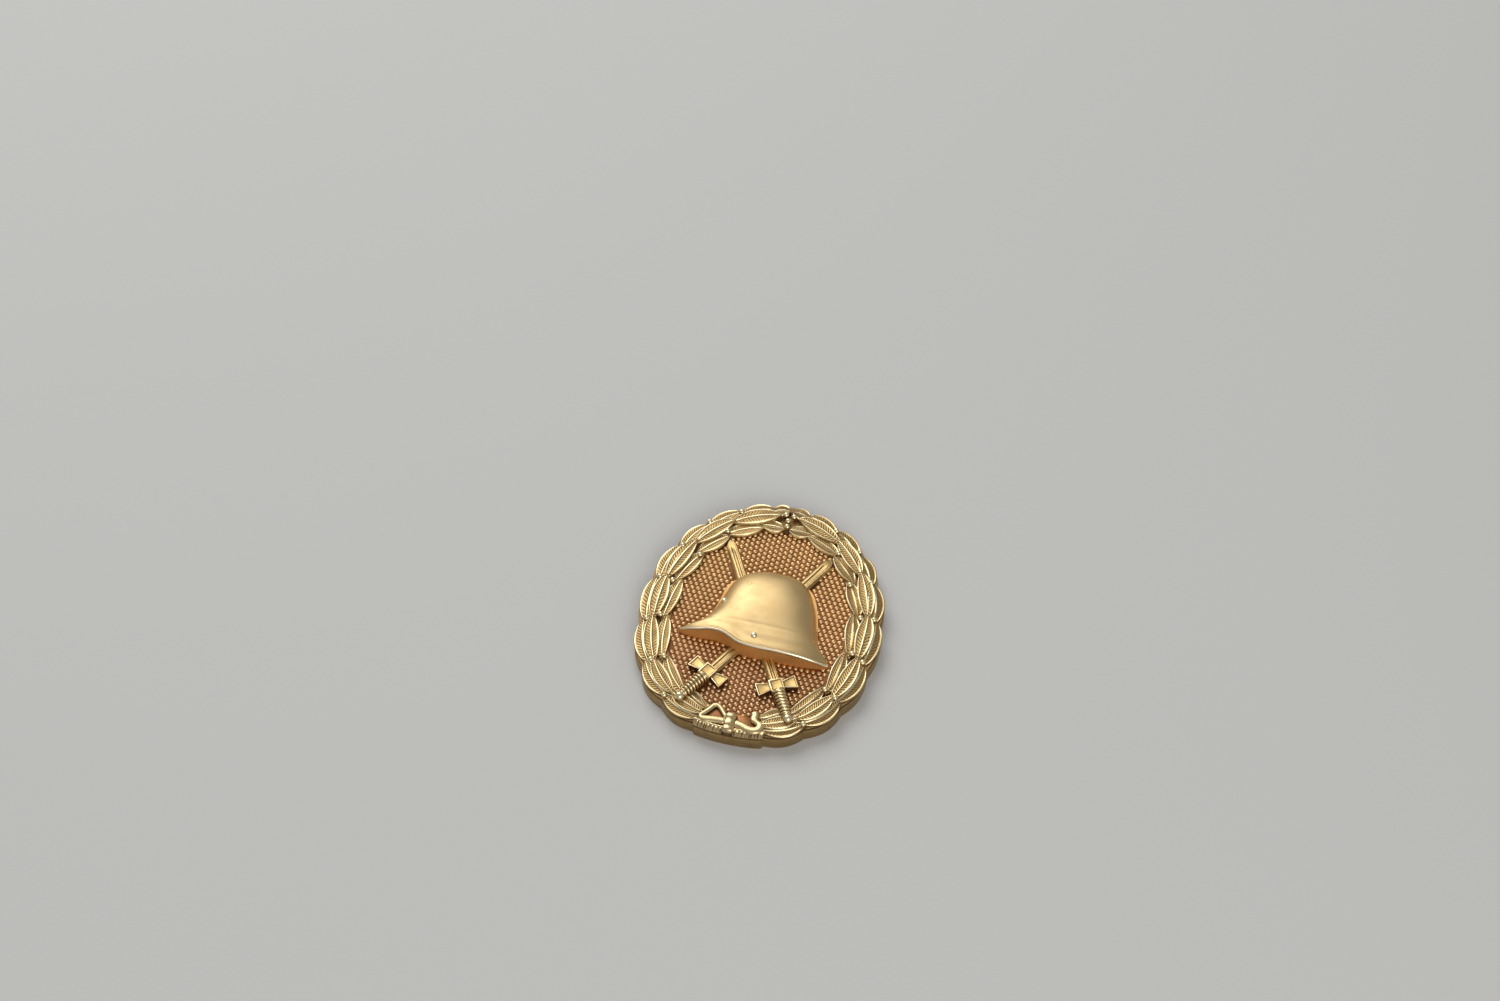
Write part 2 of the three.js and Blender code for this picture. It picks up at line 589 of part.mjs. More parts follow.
function ventLug(x, y) {
  const rise = helmetHeightAt(x, y) - LUG_SINK * LUG_RADIUS;
  return solidOf(new THREE.SphereGeometry(LUG_RADIUS, 10, 6).translate(x, y, FIELD_Z + rise));
}

function helmet() {
  const slot = (side) => {
    const half = BLADE_HALF_WIDTH + SEAT_GAP;
    const strip = block(-half, half, -GUARD_REACH, TIP_REACH, -OVERCUT, BLADE_HEIGHT + SEAT_GAP);
    return solidOf(onSword(strip, side));
  };
  const outside = helmetBody(0, 0).add(ventLug(...SIDE_LUG)).add(ventLug(...BROW_LUG));
  const inside = helmetBody(HELMET_WALL, HELMET_WALL);
  return outside.subtract(inside).subtract(slot(-1)).subtract(slot(1));
}

// Folded sheet: a strip on the field, two ears for the rivet, and a wall behind that stops the needle
function hingeBracket() {
  const inside = EYE_WIDTH / 2 + SIDE_GAP;
  const outside = inside + BRACKET_SHEET;
  const top = HOLLOW_TOP - PIN_AXIS_Z;
  const base = block(-outside, outside, -BRACKET_HALF_LENGTH, BRACKET_HALF_LENGTH, top - BRACKET_SHEET, top);
  const wall = block(-outside, outside, STOP_REACH, STOP_REACH + BRACKET_SHEET, -STOP_DROP, top);
  const ear = (side) => {
    const [low, high] = [Math.min(side * inside, side * outside), Math.max(side * inside, side * outside)];
    const round = crossRod(EAR_RADIUS, BRACKET_SHEET).translate((low + high) / 2, 0, 0);
    const upright = block(low, high, -EAR_RADIUS, STOP_REACH + BRACKET_SHEET / 2, 0, top);
    return solidOf(round).add(solidOf(upright));
  };
  const hole = solidOf(crossRod(RIVET_RADIUS + RUNNING_GAP, 3 * outside));
  return joined([solidOf(base), solidOf(wall), ear(-1), ear(1)]).subtract(hole);
}

function hingeRivet() {
  const outside = EYE_WIDTH / 2 + SIDE_GAP + BRACKET_SHEET;
  const shank = solidOf(crossRod(RIVET_RADIUS, 2 * (outside + RIVET_HEAD / 2)));
  const head = (side) => {
    const middle = side * (outside + RIVET_HEAD / 2);
    return solidOf(crossRod(RIVET_HEAD_RADIUS, RIVET_HEAD).translate(middle, 0, 0));
  };
  return joined([shank, head(-1), head(1)]);
}

// Round wire, tapered to a point past the catch, with a drilled eye round the rivet
function needle() {
  const toCatch = HINGE_Y - CATCH_Y;
  const profile = [[0, 0], [NEEDLE_RADIUS, 0], [NEEDLE_RADIUS, -toCatch / 2], [NEEDLE_CATCH_RADIUS, -toCatch + 2],
    [NEEDLE_CATCH_RADIUS * 0.8, -toCatch], [NEEDLE_POINT, -toCatch - NEEDLE_OVERHANG],
    [0, -toCatch - NEEDLE_OVERHANG]];
  const wire = new THREE.LatheGeometry(profile.map(([r, y]) => new THREE.Vector2(r, y)).reverse(), 12);
  const eye = solidOf(crossRod(EYE_RADIUS, EYE_WIDTH, 24));
  const hole = solidOf(crossRod(RIVET_RADIUS + RUNNING_GAP, 2 * EYE_WIDTH));
  return solidOf(wire).add(eye).subtract(hole);
}

function catchPlate() {
  const disc = new THREE.CylinderGeometry(CATCH_PLATE_RADIUS, CATCH_PLATE_RADIUS, CATCH_PLATE_SHEET, 28);
  return solidOf(disc.rotateX(Math.PI / 2).translate(0, 0, HOLLOW_TOP - CATCH_PLATE_SHEET / 2));
}

// Strip bent round one side of the needle, with a foot on the plate
function catchHook() {
  const inner = NEEDLE_CATCH_RADIUS + SIDE_GAP;
  const outer = inner + HOOK_SHEET;
  const foot = HOLLOW_TOP - CATCH_PLATE_SHEET - PIN_AXIS_Z;
  const shape = new THREE.Shape();
  shape.moveTo(outer + 0.3, inner);
  shape.lineTo(outer + 0.3, foot);
  shape.lineTo(-outer * 0.6, foot);
  shape.absarc(0, 0, outer, radians(125), radians(HOOK_END), false);
  shape.absarc(0, 0, inner, radians(HOOK_END), radians(90), true);
  const strip = new THREE.ExtrudeGeometry(shape, { depth: HOOK_WIDTH, bevelEnabled: false, curveSegments: 8 });
  return solidOf(strip.translate(0, 0, -HOOK_WIDTH / 2).rotateX(Math.PI / 2));
}

const FINISHES = {
  field: { color: 0xb27c4c, roughness: 0.45, metalness: 1 },
  gold: { color: 0xc9af74, roughness: 0.35, metalness: 1 },
  steel: { color: 0xb9ab8c, roughness: 0.4, metalness: 1 },
};

function piece(name, solid, finish) {
  const geometry = geometryOf(solid);
  geometry.computeVertexNormals();
  const mesh = new THREE.Mesh(geometry, new THREE.MeshStandardMaterial(FINISHES[finish]));
  mesh.name = name;
  return mesh;
}

// A group on the sword's frame, which holds that sword
function placedSword(name, side) {
  const frame = new THREE.Group();
  frame.position.set(0, CROSSING_Y, FIELD_Z);
  frame.rotation.z = radians(side * SWORD_ANGLE);
  frame.add(piece(name, sword(side), 'gold'));
  return frame;
}

// The hinge's pieces share a frame whose origin is on the hinge axis
function hinge() {
  const frame = new THREE.Group();
  frame.position.set(0, HINGE_Y, PIN_AXIS_Z);
  frame.add(piece('hinge_bracket', hingeBracket(), 'gold'));
  frame.add(piece('hinge_rivet', hingeRivet(), 'steel'));
  frame.add(piece('needle', needle(), 'steel'));
  return frame;
}

function pinCatch() {
  const frame = new THREE.Group();
  frame.position.set(0, CATCH_Y, 0);
  const hook = piece('catch_hook', catchHook(), 'gold');
  hook.position.z = PIN_AXIS_Z;
  frame.add(piece('catch_plate', catchPlate(), 'gold'), hook);
  return frame;
}

const badge = new THREE.Group();
badge.add(piece('shell', shell(), 'field'));
badge.add(piece('wreath', wreath(), 'gold'));
badge.add(piece('ribbon_bow', ribbonBow(), 'gold'));
badge.add(placedSword('sword_left', -1));
badge.add(placedSword('sword_right', 1));
badge.add(piece('helmet', helmet(), 'gold'));
badge.add(hinge());
badge.add(pinCatch());

export default badge;
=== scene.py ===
"""Pin-back badge of gilt brass: the looks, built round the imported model.

Pieces are modelled in millimetres and brought to metres at the end, each in the badge's frame:
the front looks up, the rim of the base lies on z = 0, and +Y points to the top of the wreath.
"""

import math
from math import cos, pi, radians, sin, tau

import bmesh
import bpy
from mathutils import Euler, Matrix, Vector
from mathutils.kdtree import KDTree


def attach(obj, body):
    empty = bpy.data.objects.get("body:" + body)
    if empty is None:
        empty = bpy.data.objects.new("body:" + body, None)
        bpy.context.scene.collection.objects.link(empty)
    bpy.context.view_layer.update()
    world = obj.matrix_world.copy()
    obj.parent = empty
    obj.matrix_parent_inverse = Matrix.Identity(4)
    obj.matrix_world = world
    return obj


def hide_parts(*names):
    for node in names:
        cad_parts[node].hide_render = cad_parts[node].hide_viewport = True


bl_info = {
    "name": "Pin-back badge",
    "version": (1, 0, 0),
    "blender": (4, 5, 0),
    "location": "View3D > Sidebar > Badge",
    "description": "Dresses the badge's frame with leaves, bow, swords, helmet, grains and pin",
    "category": "Add Mesh",
}

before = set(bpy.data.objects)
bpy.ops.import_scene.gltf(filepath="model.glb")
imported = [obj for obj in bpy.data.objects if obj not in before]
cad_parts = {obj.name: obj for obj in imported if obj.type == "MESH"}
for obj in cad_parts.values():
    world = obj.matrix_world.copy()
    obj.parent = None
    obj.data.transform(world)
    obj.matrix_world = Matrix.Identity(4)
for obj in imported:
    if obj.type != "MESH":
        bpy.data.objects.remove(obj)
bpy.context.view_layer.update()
MM = 0.001

# Sizes that the frame fixes, in millimetres, as in the part's own source
FIELD_Z = 2.3
HOLLOW_TOP = 1.9
RIM_WIDTH = 0.8
OVAL_HALF_WIDTH = 18.25
OVAL_HALF_HEIGHT = 21.5
LEAF_SWELL = 0.5
FOOT_FULLNESS = 2.3
BAND_WIDTH = 5.3
FOOT_BAND_WIDTH = 4.3
BAND_THICKNESS = 0.25
BOW_HALF_WIDTH = 5.1
FOOT_Y = -22.0
BOW_SHARE = BOW_HALF_WIDTH / (OVAL_HALF_WIDTH + LEAF_SWELL)
BOW_ANGLE = math.degrees(math.asin(BOW_SHARE ** (FOOT_FULLNESS / 2)))

# Rows of leaves from the inside out: degrees from the foot where each leaf ends, where the base,
# middle and tip of a leaf lie out from the plain oval, half its width, the height of its edges
# above the field, and its slope per millimetre
LEAF_ROWS = (
    ((27, 55.5, 80, 101.5, 123, 142, 164, 177.5), (-3.55, -4.0, -4.35), 1.25, 0.6, -0.11),
    ((32, 55, 79.7, 100.5, 125.5, 148.5, 174), (-2.15, -2.15, -2.05), 1.36, 0.98, 0.0),
    ((34, 56, 78, 98, 118, 135, 153.5, 170, 178.5), (-1.3, -0.75, -0.8), 1.36, 0.62, -0.24),
)
OUTER_ENDS = (BOW_ANGLE, *LEAF_ROWS[2][0][:-1], 180)
LEAF_LAP = 1.3
LEAF_LIFT = 0.1

# Berries: degrees from the foot with how far out each lies, and those of the top by X and how far
# down from the upper edge
BERRY_RADIUS = 0.47
BERRY_LIFT = 0.95
BERRIES = (
    ((55.4, 81, 99.7, 121, 143), (-3.5, -3.1, -3.2, -4.3, -3.5)),
    ((34, 56, 79, 99.3, 119.2, 137.3, 154), (-0.6, -1.5, -1.1, -1.1, -1.05, -0.45, -0.8)),
)
TOP_BERRIES = ((-0.7, 2.3), (0.6, 2.4), (-0.15, 3.4), (-0.05, 4.5))

# Where the grains end at the bow, and how low a grain is cut as a share of its height
GRAINS_FOOT_Y = -18.7
GRAIN_CUT = -0.3

# Where a leaf's midrib ends, its veins start and end, and its rim starts and falls off, as shares
# of its half width
MIDRIB_EDGE = (0.05, 0.15)
VEINS_START = (0.12, 0.2)
VEINS_END = (0.68, 0.76)
RIM_START = (0.74, 0.83)
RIM_FALL = (0.95, 1.0)

SWORD_ANGLE = 28.2
CROSSING_Y = -2.3
TIP_REACH = 17.24
POINT_LENGTH = 2.2
BLADE_HALF_WIDTH = 0.92
BLADE_HEIGHT = 0.95
BLADE_EDGE_HEIGHT = 0.5
POINT_SHARE = 0.22
FULLER_DEPTH = 0.2
GUARD_REACH = 11.2
GUARD_BLOCK = 2.1
GUARD_HALF_SPAN = 3.1
GUARD_NECK = 1.2
GUARD_FLARE = 2.3
GUARD_HEIGHT = 1.2
BLOCK_HEIGHT = 1.45
SUNK_DEPTH = 0.09
POMMEL_REACH = 17.5
POMMEL_RADIUS = 0.76
POMMEL_LIFT = 0.4
GRIP_LIFT = 1.05
GRIP_RISE = 0.3
GRIP_RADII = (1.0, 0.66)
GRIP_BELLY = 0.08
STRAND_DEPTH = 0.26
COLLAR_WIRE = 0.13
COLLARS = ((-POMMEL_REACH + 0.62, 0.6, GRIP_RISE), (-GUARD_REACH - 1.15, 0.9, 0))

HELMET_CENTRE = (0.8, -2.5)
HELMET_OUTLINE = (
    (11.9, -6.6), (10.2, -7.2), (7.5, -7.5), (3.5, -7.6), (0, -7.6), (-2.1, -7.3), (-3.5, -6.6),
    (-5, -6), (-6.8, -5.85), (-8.8, -6), (-11.6, -5.5), (-9.8, -4.3), (-8.4, -2.9), (-7.5, -1),
    (-6.9, 1.4), (-6.4, 4.4), (-4.2, 7), (-1.5, 8), (1.4, 8.3), (4.5, 7.8), (6.9, 5.8),
    (8.2, 2.8), (9, -0.4), (9.6, -3), (10.6, -4.9),
)
LEFT_TIP = 10
HELMET_RISE = 3.6
HELMET_RIM = 3.2
HELMET_TIP_RISE = 0.5
HELMET_EDGE = 0.45
HELMET_FLARE = 0.1
HELMET_HALF_LENGTH = 11.8
DOME_POWER = 2.4
BEAD_INSET = 0.19
CREASE_Y = -3.4
CREASE_DEPTH = 0.03
LUGS = ((0.1, -5.4), (-5.9, 0.5))
LUG_RADIUS = 0.5
VENT = (-2.8, 3.9, 0)
VENT_RADIUS = 0.36
VENT_WIRE = 0.06

# The pin: distances from its axis along it, each with the needle's radius there
HINGE_Y = 12.5
PIN_AXIS_Z = 0.8
NEEDLE_TAPER = (
    (0.0, 0.5), (-12.5, 0.5), (-18, 0.46), (-23, 0.4), (-25, 0.32), (-26.6, 0.19), (-27.3, 0.09),
    (-27.4, 0.03),
)
NEEDLE_REACH = 27.4
NEEDLE_START = 0.42
EYE_RADIUS = 0.46
EYE_WIRE = 0.16
EYE_WIDTH = 1.3

# The look: edge length by which relief is judged, area past which a face counts as flat, height of
# the finest bumps, heights between which the field's foot fades into its upper part, and the noise
# scales of clouds, specks and hairlines
FINE_STEP = 0.12
WIDE_FACE = 0.4
FINE_BUMP = 0.03
FOOT_TINT = (-13, 8)
CLOUD_SCALE = 420
SPECK_SCALE = 5200
HAIRLINE_SCALE = 260

# The stage, in metres, degrees and watts
LAMPS = (("key", (-0.35, 0.45, 0.6), 0.7, 4.1), ("fill", (0.3, -0.55, 0.4), 0.5, 2.2))
WORLD_COLOUR = (0.86, 0.85, 0.82, 1)
WORLD_STRENGTH = 0.4
CAMERA_PLACE = (0.047374, -0.216735, 0.314978)
CAMERA_TURN = (38.0452, -0.6678, 13.7173)
CAMERA_LENS = 60
CAMERA_SENSOR = 36


def length_property(name, description, millimetres, least=0.0):
    return bpy.props.FloatProperty(
        name=name, description=description, default=millimetres * MM, min=least * MM,
        unit="LENGTH", precision=5,
    )


def colour_property(name, description, default):
    return bpy.props.FloatVectorProperty(
        name=name, description=description, default=default, size=4, subtype="COLOR", min=0, max=1
    )


class BadgeSizes(bpy.types.PropertyGroup):
    """Sizes of the fine work on the badge"""

    grain_pitch: length_property("Grain pitch", "Distance between neighbouring grains", 0.9, 0.4)
    grain_width: length_property("Grain width", "Width of one grain", 0.78, 0.2)
    grain_height: length_property("Grain height", "Height of a grain above the field", 0.3, 0.05)
    leaf_veins: bpy.props.IntProperty(
        name="Veins", description="Veins on each side of a leaf's midrib", default=18, min=4, max=30
    )
    leaf_rim: length_property("Leaf rim", "Rise of the rim round a leaf", 0.13)
    leaf_midrib: length_property("Midrib", "Rise of a leaf's midrib", 0.13)
    leaf_vein: length_property("Vein height", "Rise of the slanting veins", 0.03)
    leaf_crown: length_property("Leaf crown", "Rise of a leaf's middle over its edges", 0.1)
    grip_starts: bpy.props.IntProperty(
        name="Grip strands", description="Strands round a sword's grip", default=1, min=1, max=8
    )
    grip_turns: bpy.props.FloatProperty(
        name="Grip turns", description="Turns of each strand along the grip", default=8.5, min=0.5
    )
    helmet_lip: length_property("Helmet lip", "Rise of the bead along the helmet's edge", 0.2)


class BadgeColours(bpy.types.PropertyGroup):
    """Colours of the badge's finishes"""

    # Crest tone: partly rubbed gilt, partly painted highlight.
    gilt_crest: colour_property("Rubbed gilt and highlight", "Gilding on edges and crests", (0.89, 0.76, 0.48, 1))
    gilt_body: colour_property("Gilt", "Gilding on open surfaces", (0.50, 0.345, 0.14, 1))
    # Recess tone: patina in grooves, and painted shade low down and on upright walls.
    gilt_recess: colour_property("Patina and shade", "Gilding in grooves", (0.15, 0.072, 0.03, 1))
    copper: colour_property("Copper tone", "Field and its grains", (0.82, 0.47, 0.17, 1))
    back: colour_property("Back", "Brass of the hollow back", (0.50, 0.38, 0.19, 1))
    steel: colour_property("Pin steel", "Needle and rivet", (0.46, 0.44, 0.41, 1))
    floor: colour_property("Floor", "Plain pale floor", (0.55, 0.55, 0.54, 1))


# Shapes that more than one piece uses


def lerp(a, b, share):
    return a + (b - a) * share


def smoothstep(value, low, high):
    share = min(max((value - low) / (high - low), 0), 1)
    return share * share * (3 - 2 * share)


def bump(value, middle, width):
    """1 at the middle, falling smoothly to 0 at width from it."""
    return 1 - smoothstep(abs(value - middle), 0, width)


def signed_power(value, power):
    return math.copysign(abs(value) ** power, value)


def oval_point(angle, side, offset):
    """A point of the oval: degrees from the foot, side 1 right or -1 left, offset outwards."""
    sine, cosine = sin(radians(angle)), cos(radians(angle))
    power = 2 / FOOT_FULLNESS if cosine > 0 else 1
    x = side * (OVAL_HALF_WIDTH + offset) * signed_power(sine, power)
    return x, -(OVAL_HALF_HEIGHT + offset) * signed_power(cosine, power)


def band_scale(angle):
    """The wreath narrows towards the foot."""
    return lerp(1, FOOT_BAND_WIDTH / BAND_WIDTH, max(cos(radians(angle)), 0))


def swell_at(angle):
    """How far the outline swells out at an angle, between the ends of the outer leaves."""
    if angle <= BOW_ANGLE:
        return LEAF_SWELL
    i = next(i for i in range(len(OUTER_ENDS) - 1) if angle <= OUTER_ENDS[i + 1] + 1e-6)
    start, end = OUTER_ENDS[i:i + 2]
    quarter = 0.5 if end == 180 else 1
    return LEAF_SWELL * sin(pi * quarter * (angle - start) / (end - start))


def outline_angles():
    """Angle and swell along one side of the outline, from the foot to the top."""
    angles = [BOW_ANGLE * i / 8 for i in range(9)]
    for start, end in zip(OUTER_ENDS, OUTER_ENDS[1:]):
        angles += [lerp(start, end, (j + 1) / 16) for j in range(16)]
    return [(angle, swell_at(angle)) for angle in angles]


def oval_loop(offset_at):
    """A closed oval, whose offset is worked out from each sample's angle and swell."""
    samples = outline_angles()
    right = [oval_point(angle, 1, offset_at(angle, swell)) for angle, swell in samples]
    left = [oval_point(angle, -1, offset_at(angle, swell)) for angle, swell in samples[-2:0:-1]]
    return right + left


def rounded(corners):
    """An open path whose corners are cut back until it is a smooth curve."""
    points = [Vector(corner) for corner in corners]
    for _ in range(3):
        cut = [points[0]]
        for a, b in zip(points, points[1:]):
            cut += [a.lerp(b, 0.25), a.lerp(b, 0.75)]
        points = [*cut, points[-1]]
    return points


def in_outline(x, y, outline):
    """Whether a point lies inside a closed outline."""
    inside = False
    for (ax, ay), (bx, by) in zip(outline, [*outline[1:], outline[0]]):
        if (ay > y) != (by > y) and x < (bx - ax) * (y - ay) / (by - ay) + ax:
            inside = not inside
    return inside


# Handling of pieces


def leave_edit():
    """Goes back to object mode."""
    bpy.ops.object.mode_set(mode="OBJECT")


def only(piece):
    """Leaves edit mode and selects one piece, or none."""
    if bpy.context.object is not None and bpy.context.object.mode != "OBJECT":
        leave_edit()
    bpy.ops.object.select_all(action="DESELECT")
    if piece is not None:
        piece.select_set(True)
        bpy.context.view_layer.objects.active = piece


def in_scene(item):
    bpy.context.scene.collection.objects.link(item)


def added(operator, **settings):
    """A new primitive, made by one of the operators that add one."""
    only(None)
    operator(**settings)
    return bpy.context.view_layer.objects.active


def edit(piece, kind, test):
    """Enters edit mode with the faces, edges or vertices selected that the test says yes to."""
    only(piece)
    mesh = piece.data
    for items in (mesh.vertices, mesh.edges, mesh.polygons):
        items.foreach_set("select", [False] * len(items))
    modes = {"VERT": mesh.vertices, "EDGE": mesh.edges, "FACE": mesh.polygons}
    bpy.context.tool_settings.mesh_select_mode = [kind == name for name in modes]
    for item in modes[kind]:
        if test(item):
            item.select = True
            for v in getattr(item, "vertices", []):
                mesh.vertices[v].select = True
    bpy.ops.object.mode_set(mode="EDIT")


def reshape(piece, move):
    """Moves each vertex to where the function says."""
    for vertex in piece.data.vertices:
        vertex.co = move(vertex.co)
    return piece


def facing_out(piece):
    edit(piece, "FACE", lambda face: True)
    bpy.ops.mesh.normals_make_consistent(inside=False)
    leave_edit()
    return piece


def rounded_edges(piece, width, angle=35):
    """Rounds the edges that turn by more than an angle."""
    only(piece)
    bevel = piece.modifiers.new("bevel", "BEVEL")
    bevel.width = width
    bevel.segments = 2
    bevel.limit_method = "ANGLE"
    bevel.angle_limit = radians(angle)
    bpy.ops.object.modifier_apply(modifier=bevel.name)


def joined(pieces, name):
    """The pieces as one, with all their faces turned outwards."""
    whole = pieces[0]
    only(whole)
    for piece in pieces[1:]:
        piece.select_set(True)
    bpy.ops.object.join()
    whole.name = name
    return facing_out(whole)


def slab(outline, low, high, edge=0.0):
    """A flat-topped body over an outline, with its upper edge rounded."""
    piece = added(
        bpy.ops.mesh.primitive_circle_add, vertices=len(outline), radius=1, fill_type="NGON"
    )
    for vertex, (x, y) in zip(piece.data.vertices, outline):
        vertex.co = (x, y, high)
    edit(piece, "FACE", lambda face: True)
    bpy.ops.mesh.extrude_region_move(TRANSFORM_OT_translate={"value": (0, 0, low - high)})
    leave_edit()
    facing_out(piece)
    if edge:
        bevel_level(piece, high, edge, 2)
    return piece


def bevel_level(piece, level, width, segments):
    """Rounds the edges that lie at one height."""
    heights = [v.co.z for v in piece.data.vertices]
    edit(piece, "EDGE", lambda e: all(abs(heights[v] - level) < 0.001 for v in e.vertices))
    bpy.ops.mesh.bevel(offset=width, segments=segments, affect="EDGES")
    leave_edit()


def sink_top(piece, level, border, width, depth):
    """Sinks the middle of a flat top, and leaves a border round it."""
    edit(piece, "FACE", lambda face: face.normal.z > 0.99 and abs(face.center.z - level) < 0.01)
    bpy.ops.mesh.inset(thickness=border)
    bpy.ops.mesh.inset(thickness=width, depth=-depth)
    leave_edit()


def barrel(sides, stations, place):
    """A closed tube of rings. Place gives the point for a ring's number and a side's number."""
    piece = added(bpy.ops.mesh.primitive_cylinder_add, vertices=sides, radius=1, depth=1)
    heights = [v.co.z for v in piece.data.vertices]
    edit(piece, "EDGE", lambda e: abs(heights[e.vertices[0]] - heights[e.vertices[1]]) > 0.5)
    bpy.ops.mesh.subdivide(number_cuts=stations - 2)
    leave_edit()

    def move(co):
        ring = round((co.z + 0.5) * (stations - 1))
        side = round(math.atan2(co.y, co.x) / tau * sides) % sides
        return Vector(place(ring, side))

    return facing_out(reshape(piece, move))


def ball(radius, place, flat=1.0, segments=16, rings=10):
    piece = added(
        bpy.ops.mesh.primitive_uv_sphere_add, segments=segments, ring_count=rings, radius=radius,
        location=place,
    )
    piece.scale.z = flat
    bpy.ops.object.transform_apply()
    return piece


def wire_ring(radius, wire, segments, place, turn=(0, 0, 0), stretch=1.0):
    """A ring of round wire, turned about its middle after it is stretched along its axis."""
    piece = added(
        bpy.ops.mesh.primitive_torus_add, major_segments=segments[0], minor_segments=segments[1],
        major_radius=radius, minor_radius=wire, location=place, rotation=turn,
    )
    piece.scale.z = stretch
    bpy.ops.object.transform_apply()
    return piece


def copied(piece, move):
    """A copy with its own mesh, each vertex moved by the function."""
    copy = piece.copy()
    copy.data = piece.data.copy()
    in_scene(copy)
    return reshape(copy, move)


def mark_wear_and_highlight(piece, values):
    """Sets how much brighter each point is painted than its shape alone would make it, partly for
    rubbing and partly as painted highlight; below zero it is painted darker.
    """
    if isinstance(values, float):
        values = [values] * len(piece.data.vertices)
    piece.data.attributes.new("wear_and_highlight", "FLOAT", "POINT").data.foreach_set("value", values)
    return piece


def mark_relief(piece, wall_patina_and_shade):
    """Stores 1 on crests, 0.5 on flats and 0 in grooves, and less where the surface is upright."""
    shape = bmesh.new()
    shape.from_mesh(piece.data)
    shape.normal_update()
    standing = []
    for vertex in shape.verts:
        total = 0.0
        for edge in vertex.link_edges:
            away = vertex.co - edge.other_vert(vertex).co
            length = max(away.length, 1e-6)
            total += away.dot(vertex.normal) / length * min(max(FINE_STEP / length, 1), 6)
        standing.append(total / max(len(vertex.link_edges), 1))
    wide = {face.index for face in shape.faces if face.calc_area() > WIDE_FACE}
    extra_brightening = piece.data.attributes.get("wear_and_highlight")
    wear_and_highlight = [item.value for item in extra_brightening.data] if extra_brightening else [0] * len(shape.verts)
    eased = []
    for vertex in shape.verts:
        near = [standing[e.other_vert(vertex).index] for e in vertex.link_edges] or [0]
        broad = any(face.index in wide for face in vertex.link_faces)
        # Upright walls are painted nearer the recess tone: partly patina, partly painted shade.
        patina_and_shade = wall_patina_and_shade * (1 - smoothstep(abs(vertex.normal.z), 0.1, 0.6))
        bent = 0 if broad else 0.5 * standing[vertex.index] + 0.5 * sum(near) / len(near)
        eased.append(bent - patina_and_shade + wear_and_highlight[vertex.index])
    shape.free()
    attribute = piece.data.attributes.new("relief", "FLOAT", "POINT")
    attribute.data.foreach_set("value", [min(max(0.5 + 0.9 * value, 0), 1) for value in eased])


def finish_piece(piece, name, material, node, smooth=40, wall_patina_and_shade=0.3, body="badge"):
    """Brings a piece to metres, marks its relief, gives its finish, and ties it to the frame."""
    only(piece)
    bpy.ops.object.shade_smooth_by_angle(angle=radians(smooth))
    mark_relief(piece, wall_patina_and_shade)
    piece.data.transform(Matrix.Scale(MM, 4))
    piece.matrix_world = Matrix.Identity(4)
    piece.name = piece.data.name = name
    piece.data.materials.clear()
    piece.data.materials.append(bpy.data.materials[material])
    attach(piece, body)
    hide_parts(node)


# Node groups and materials


def feed(tree, socket, value):
    """Sets a socket to a plain value, or links it to another node's output."""
    if isinstance(value, bpy.types.NodeSocket):
        tree.links.new(value, socket)
    else:
        socket.default_value = value


def new_group(name, inputs, outputs):
    """A node group with the sockets that its two nodes give it, each by its label and kind."""
    group = bpy.data.node_groups.new(name, "ShaderNodeTree")
    for way, sockets in (("INPUT", inputs), ("OUTPUT", outputs)):
        for label, kind in sockets.items():
            group.interface.new_socket(name=label, in_out=way, socket_type="NodeSocket" + kind)
    start, end = group.nodes.new("NodeGroupInput"), group.nodes.new("NodeGroupOutput")
    return group, start.outputs, end.inputs


def object_place(tree):
    """Object coordinates, whole and split into X, Y and Z."""
    place = tree.nodes.new("ShaderNodeTexCoord").outputs["Object"]
    parts = tree.nodes.new("ShaderNodeSeparateXYZ")
    feed(tree, parts.inputs[0], place)
    return place, parts.outputs


def noise(tree, scale, detail, coordinates):
    node = tree.nodes.new("ShaderNodeTexNoise")
    for label, value in (("Scale", scale), ("Detail", detail), ("Vector", coordinates)):
        feed(tree, node.inputs[label], value)
    return node.outputs["Fac"]


def mapped(tree, value, low, high, to_low=0.0, to_high=1.0):
    """A value brought smoothly from one span to another."""
    node = tree.nodes.new("ShaderNodeMapRange")
    node.interpolation_type = "SMOOTHSTEP"
    labels = ("Value", "From Min", "From Max", "To Min", "To Max")
    for label, each in zip(labels, (value, low, high, to_low, to_high)):
        feed(tree, node.inputs[label], each)
    return node.outputs["Result"]


def math_node(tree, operation, a, b):
    node = tree.nodes.new("ShaderNodeMath")
    node.operation = operation
    feed(tree, node.inputs[0], a)
    feed(tree, node.inputs[1], b)
    return node.outputs[0]


def mixed(tree, share, a, b):
    """A colour a share of the way from a to b."""
    node = tree.nodes.new("ShaderNodeMix")
    node.data_type = "RGBA"
    for number, value in ((0, share), (6, a), (7, b)):
        feed(tree, node.inputs[number], value)
    return node.outputs[2]


